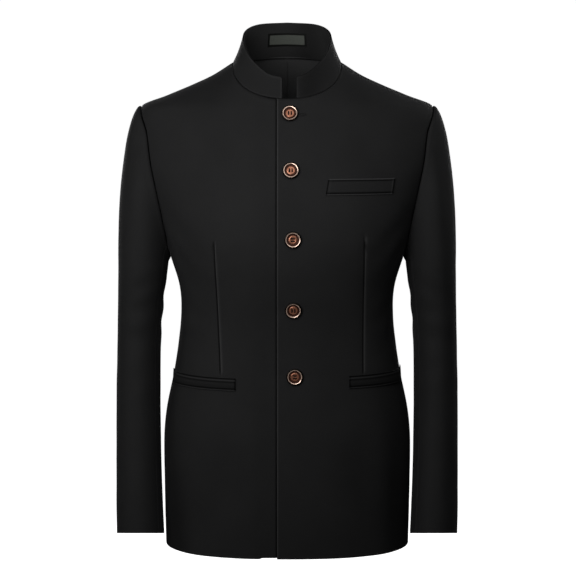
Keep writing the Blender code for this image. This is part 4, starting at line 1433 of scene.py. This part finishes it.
def button_thread(kind):
    """The thread over a button: two bars, each from one hole to the next, dipping in at both ends."""
    parts = []
    reach = BUTTON_HOLE_OUT * math.sqrt(0.5)
    for side in (-1, 1):
        for offset in BAR_OFFSETS:
            points = []
            for t in steps_between(-1.0, 1.0, BAR_STEPS):
                height = BAR_LEVEL + BAR_ARCH * (1 - t**2) - BAR_DIP * abs(t) ** BAR_DIP_POWER
                place = Vector((side * reach + offset, t * (reach + BAR_PAST_HOLE), height))
                if kind == "across":
                    place = Vector((-place.y, place.x, place.z))
                points.append(place)
            parts.append(tube(points, BAR_RADIUS))
    return joined(parts)


def make_buttons():
    mesh = button_mesh()
    for number, row in enumerate(named_rows(BUTTONS, BUTTON_COLUMNS), start=1):
        level = row["level"]
        angle = angle_at(row["out"], level)
        normal = body_normal(angle, level)
        place = Matrix.Translation(body_point(angle, level) + normal * BUTTON_LIFT)
        place @= normal.to_track_quat("Z", "Y").to_matrix().to_4x4()
        button = bpy.data.objects.new(f"button_{number}_turned", mesh.copy())
        bpy.context.collection.objects.link(button)
        button.matrix_world = place
        finish_piece(button, [f"button_{number}"])
        thread = mesh_piece(f"button_{number}_thread", *button_thread(row["thread"]), [THREAD])
        thread.matrix_world = place
        finish_piece(thread)


def make_buttonhole():
    """The end of the buttonhole that shows beside the top button."""
    button = named_rows(BUTTONS, BUTTON_COLUMNS)[0]
    level = button["level"] - HOLE_DOWN
    start, end = button["out"] + HOLE_FROM, button["out"] + HOLE_TO
    half = HOLE_HALF_WIDTH
    outline = [(out, half) for out in steps_between(start, end, HOLE_STEPS)]
    for a in steps_between(90.0, -90.0, HOLE_END_STEPS)[1:-1]:
        turn = math.radians(a)
        outline.append((end + half * math.cos(turn), half * math.sin(turn)))
    outline += [(out, -half) for out in steps_between(end, start, HOLE_STEPS)]
    parts = []
    for k, (out, rise) in enumerate(outline):
        before, after = outline[max(k - 1, 0)], outline[min(k + 1, len(outline) - 1)]
        way = Vector((after[0] - before[0], after[1] - before[1])).normalized()
        side = Vector((way.y, -way.x))
        points = []
        for t in steps_between(-1.0, 1.0, STITCH_STEPS):
            shift = side * (STITCH_REACH * t)
            place = (angle_at(out + shift.x, level + rise + shift.y), level + rise + shift.y)
            height = STITCH_RISE * (1 - t * t) + STITCH_LIFT
            points.append(body_point(*place) + body_normal(*place) * height)
        parts.append(tube(points, STITCH_RADIUS, STITCH_SIDES))
    piece = mesh_piece("buttonhole_1", *joined(parts), [HOLE_THREAD])
    finish_piece(piece)


# Stage, lights and camera

FLOOR_LEVEL = -0.98
FLOOR_RADIUS = 4.0
FLOOR_SIDES = 96
SWEEP_RADIUS = 1.4
SWEEP_STEPS = 24
WALL_HEIGHT = 4.5
PAPER = (0.93, 0.93, 0.93)
PAPER_ROUGHNESS = 0.9
PAPER_GLOW = 0.98


def make_floor():
    """A plain pale floor that sweeps up all round. Its glow doesn't fall on the jacket."""
    profile = []
    for a in steps_between(0.0, 90.0, SWEEP_STEPS):
        turn = math.radians(a)
        reach = FLOOR_RADIUS + SWEEP_RADIUS * math.sin(turn)
        profile.append((reach, FLOOR_LEVEL + SWEEP_RADIUS * (1 - math.cos(turn))))
    profile.append((FLOOR_RADIUS + SWEEP_RADIUS, WALL_HEIGHT))
    vertices = []
    for reach, z in profile:
        for k in range(FLOOR_SIDES):
            around = 2 * math.pi * k / FLOOR_SIDES
            vertices.append((reach * math.cos(around), reach * math.sin(around), z))
    faces = [tuple(range(FLOOR_SIDES))]
    for i in range(len(profile) - 1):
        for k in range(FLOOR_SIDES):
            following = (k + 1) % FLOOR_SIDES
            near, far = i * FLOOR_SIDES, (i + 1) * FLOOR_SIDES
            faces.append((near + k, far + k, far + following, near + following))
    paper, _, shader = new_material("paper")
    shader.inputs["Base Color"].default_value = (*PAPER, 1.0)
    shader.inputs["Roughness"].default_value = PAPER_ROUGHNESS
    shader.inputs["Emission Color"].default_value = (1.0, 1.0, 1.0, 1.0)
    shader.inputs["Emission Strength"].default_value = PAPER_GLOW
    floor = mesh_piece("floor", vertices, faces, [paper])
    floor.visible_diffuse = False
    floor.visible_glossy = False


LIGHT_COLUMNS = ("name", "place", "power")
LIGHTS = [
    ("front", (-0.35, -0.95, 0.02), 6.7),
    ("high", (0.21, -0.58, 0.26), 1.7),
    ("left", (-1.49, -0.40, 0.16), 4.2),
    ("right", (1.20, 0.69, 0.55), 5.5),
    ("back_left", (-0.80, 1.35, 0.10), 5.5),
    ("back_right", (0.80, 1.35, 0.10), 4.5),
]
LIGHT_AIM = (0.0, 0.0, -0.25)
LIGHT_SIZE = 0.7
WORLD_TONE = 0.02


def make_lights():
    for row in named_rows(LIGHTS, LIGHT_COLUMNS):
        data = bpy.data.lights.new(row["name"], "AREA")
        data.shape = "DISK"
        data.size = LIGHT_SIZE
        data.energy = row["power"]
        light = bpy.data.objects.new(row["name"], data)
        light.location = row["place"]
        way = Vector(LIGHT_AIM) - Vector(row["place"])
        light.rotation_mode = "QUATERNION"
        light.rotation_quaternion = way.to_track_quat("-Z", "Y")
        light.visible_camera = False
        bpy.context.collection.objects.link(light)
    world = bpy.data.worlds.new("studio")
    world.use_nodes = True
    sky = world.node_tree.nodes["Background"]
    sky.inputs["Color"].default_value = (1.0, 1.0, 1.0, 1.0)
    sky.inputs["Strength"].default_value = WORLD_TONE
    bpy.context.scene.world = world


CAMERA_PLACE = (0.0013, -3.2, 0.05)
CAMERA_TIP = 6.7
CAMERA_LENS = 137.3
CAMERA_SENSOR = 36.0
CAMERA_CLIP = (0.05, 50.0)


def make_camera():
    data = bpy.data.cameras.new("camera")
    data.lens = CAMERA_LENS
    data.sensor_width = CAMERA_SENSOR
    data.clip_start, data.clip_end = CAMERA_CLIP
    camera = bpy.data.objects.new("camera", data)
    camera.location = CAMERA_PLACE
    camera.rotation_euler = (math.radians(90.0 - CAMERA_TIP), 0.0, 0.0)
    bpy.context.collection.objects.link(camera)
    bpy.context.scene.camera = camera
    bpy.context.scene.view_settings.view_transform = "Standard"


for each in ("left", "right"):
    make_front(each)
    make_panel("side", side_places(), each)
    make_panel("back", back_places(), each)
    make_sleeve(each)
make_collar()
make_label()
make_lining()
for each in named_rows(WELTS, WELT_COLUMNS):
    make_welt(each)
make_buttons()
make_buttonhole()
make_floor()
make_lights()
make_camera()
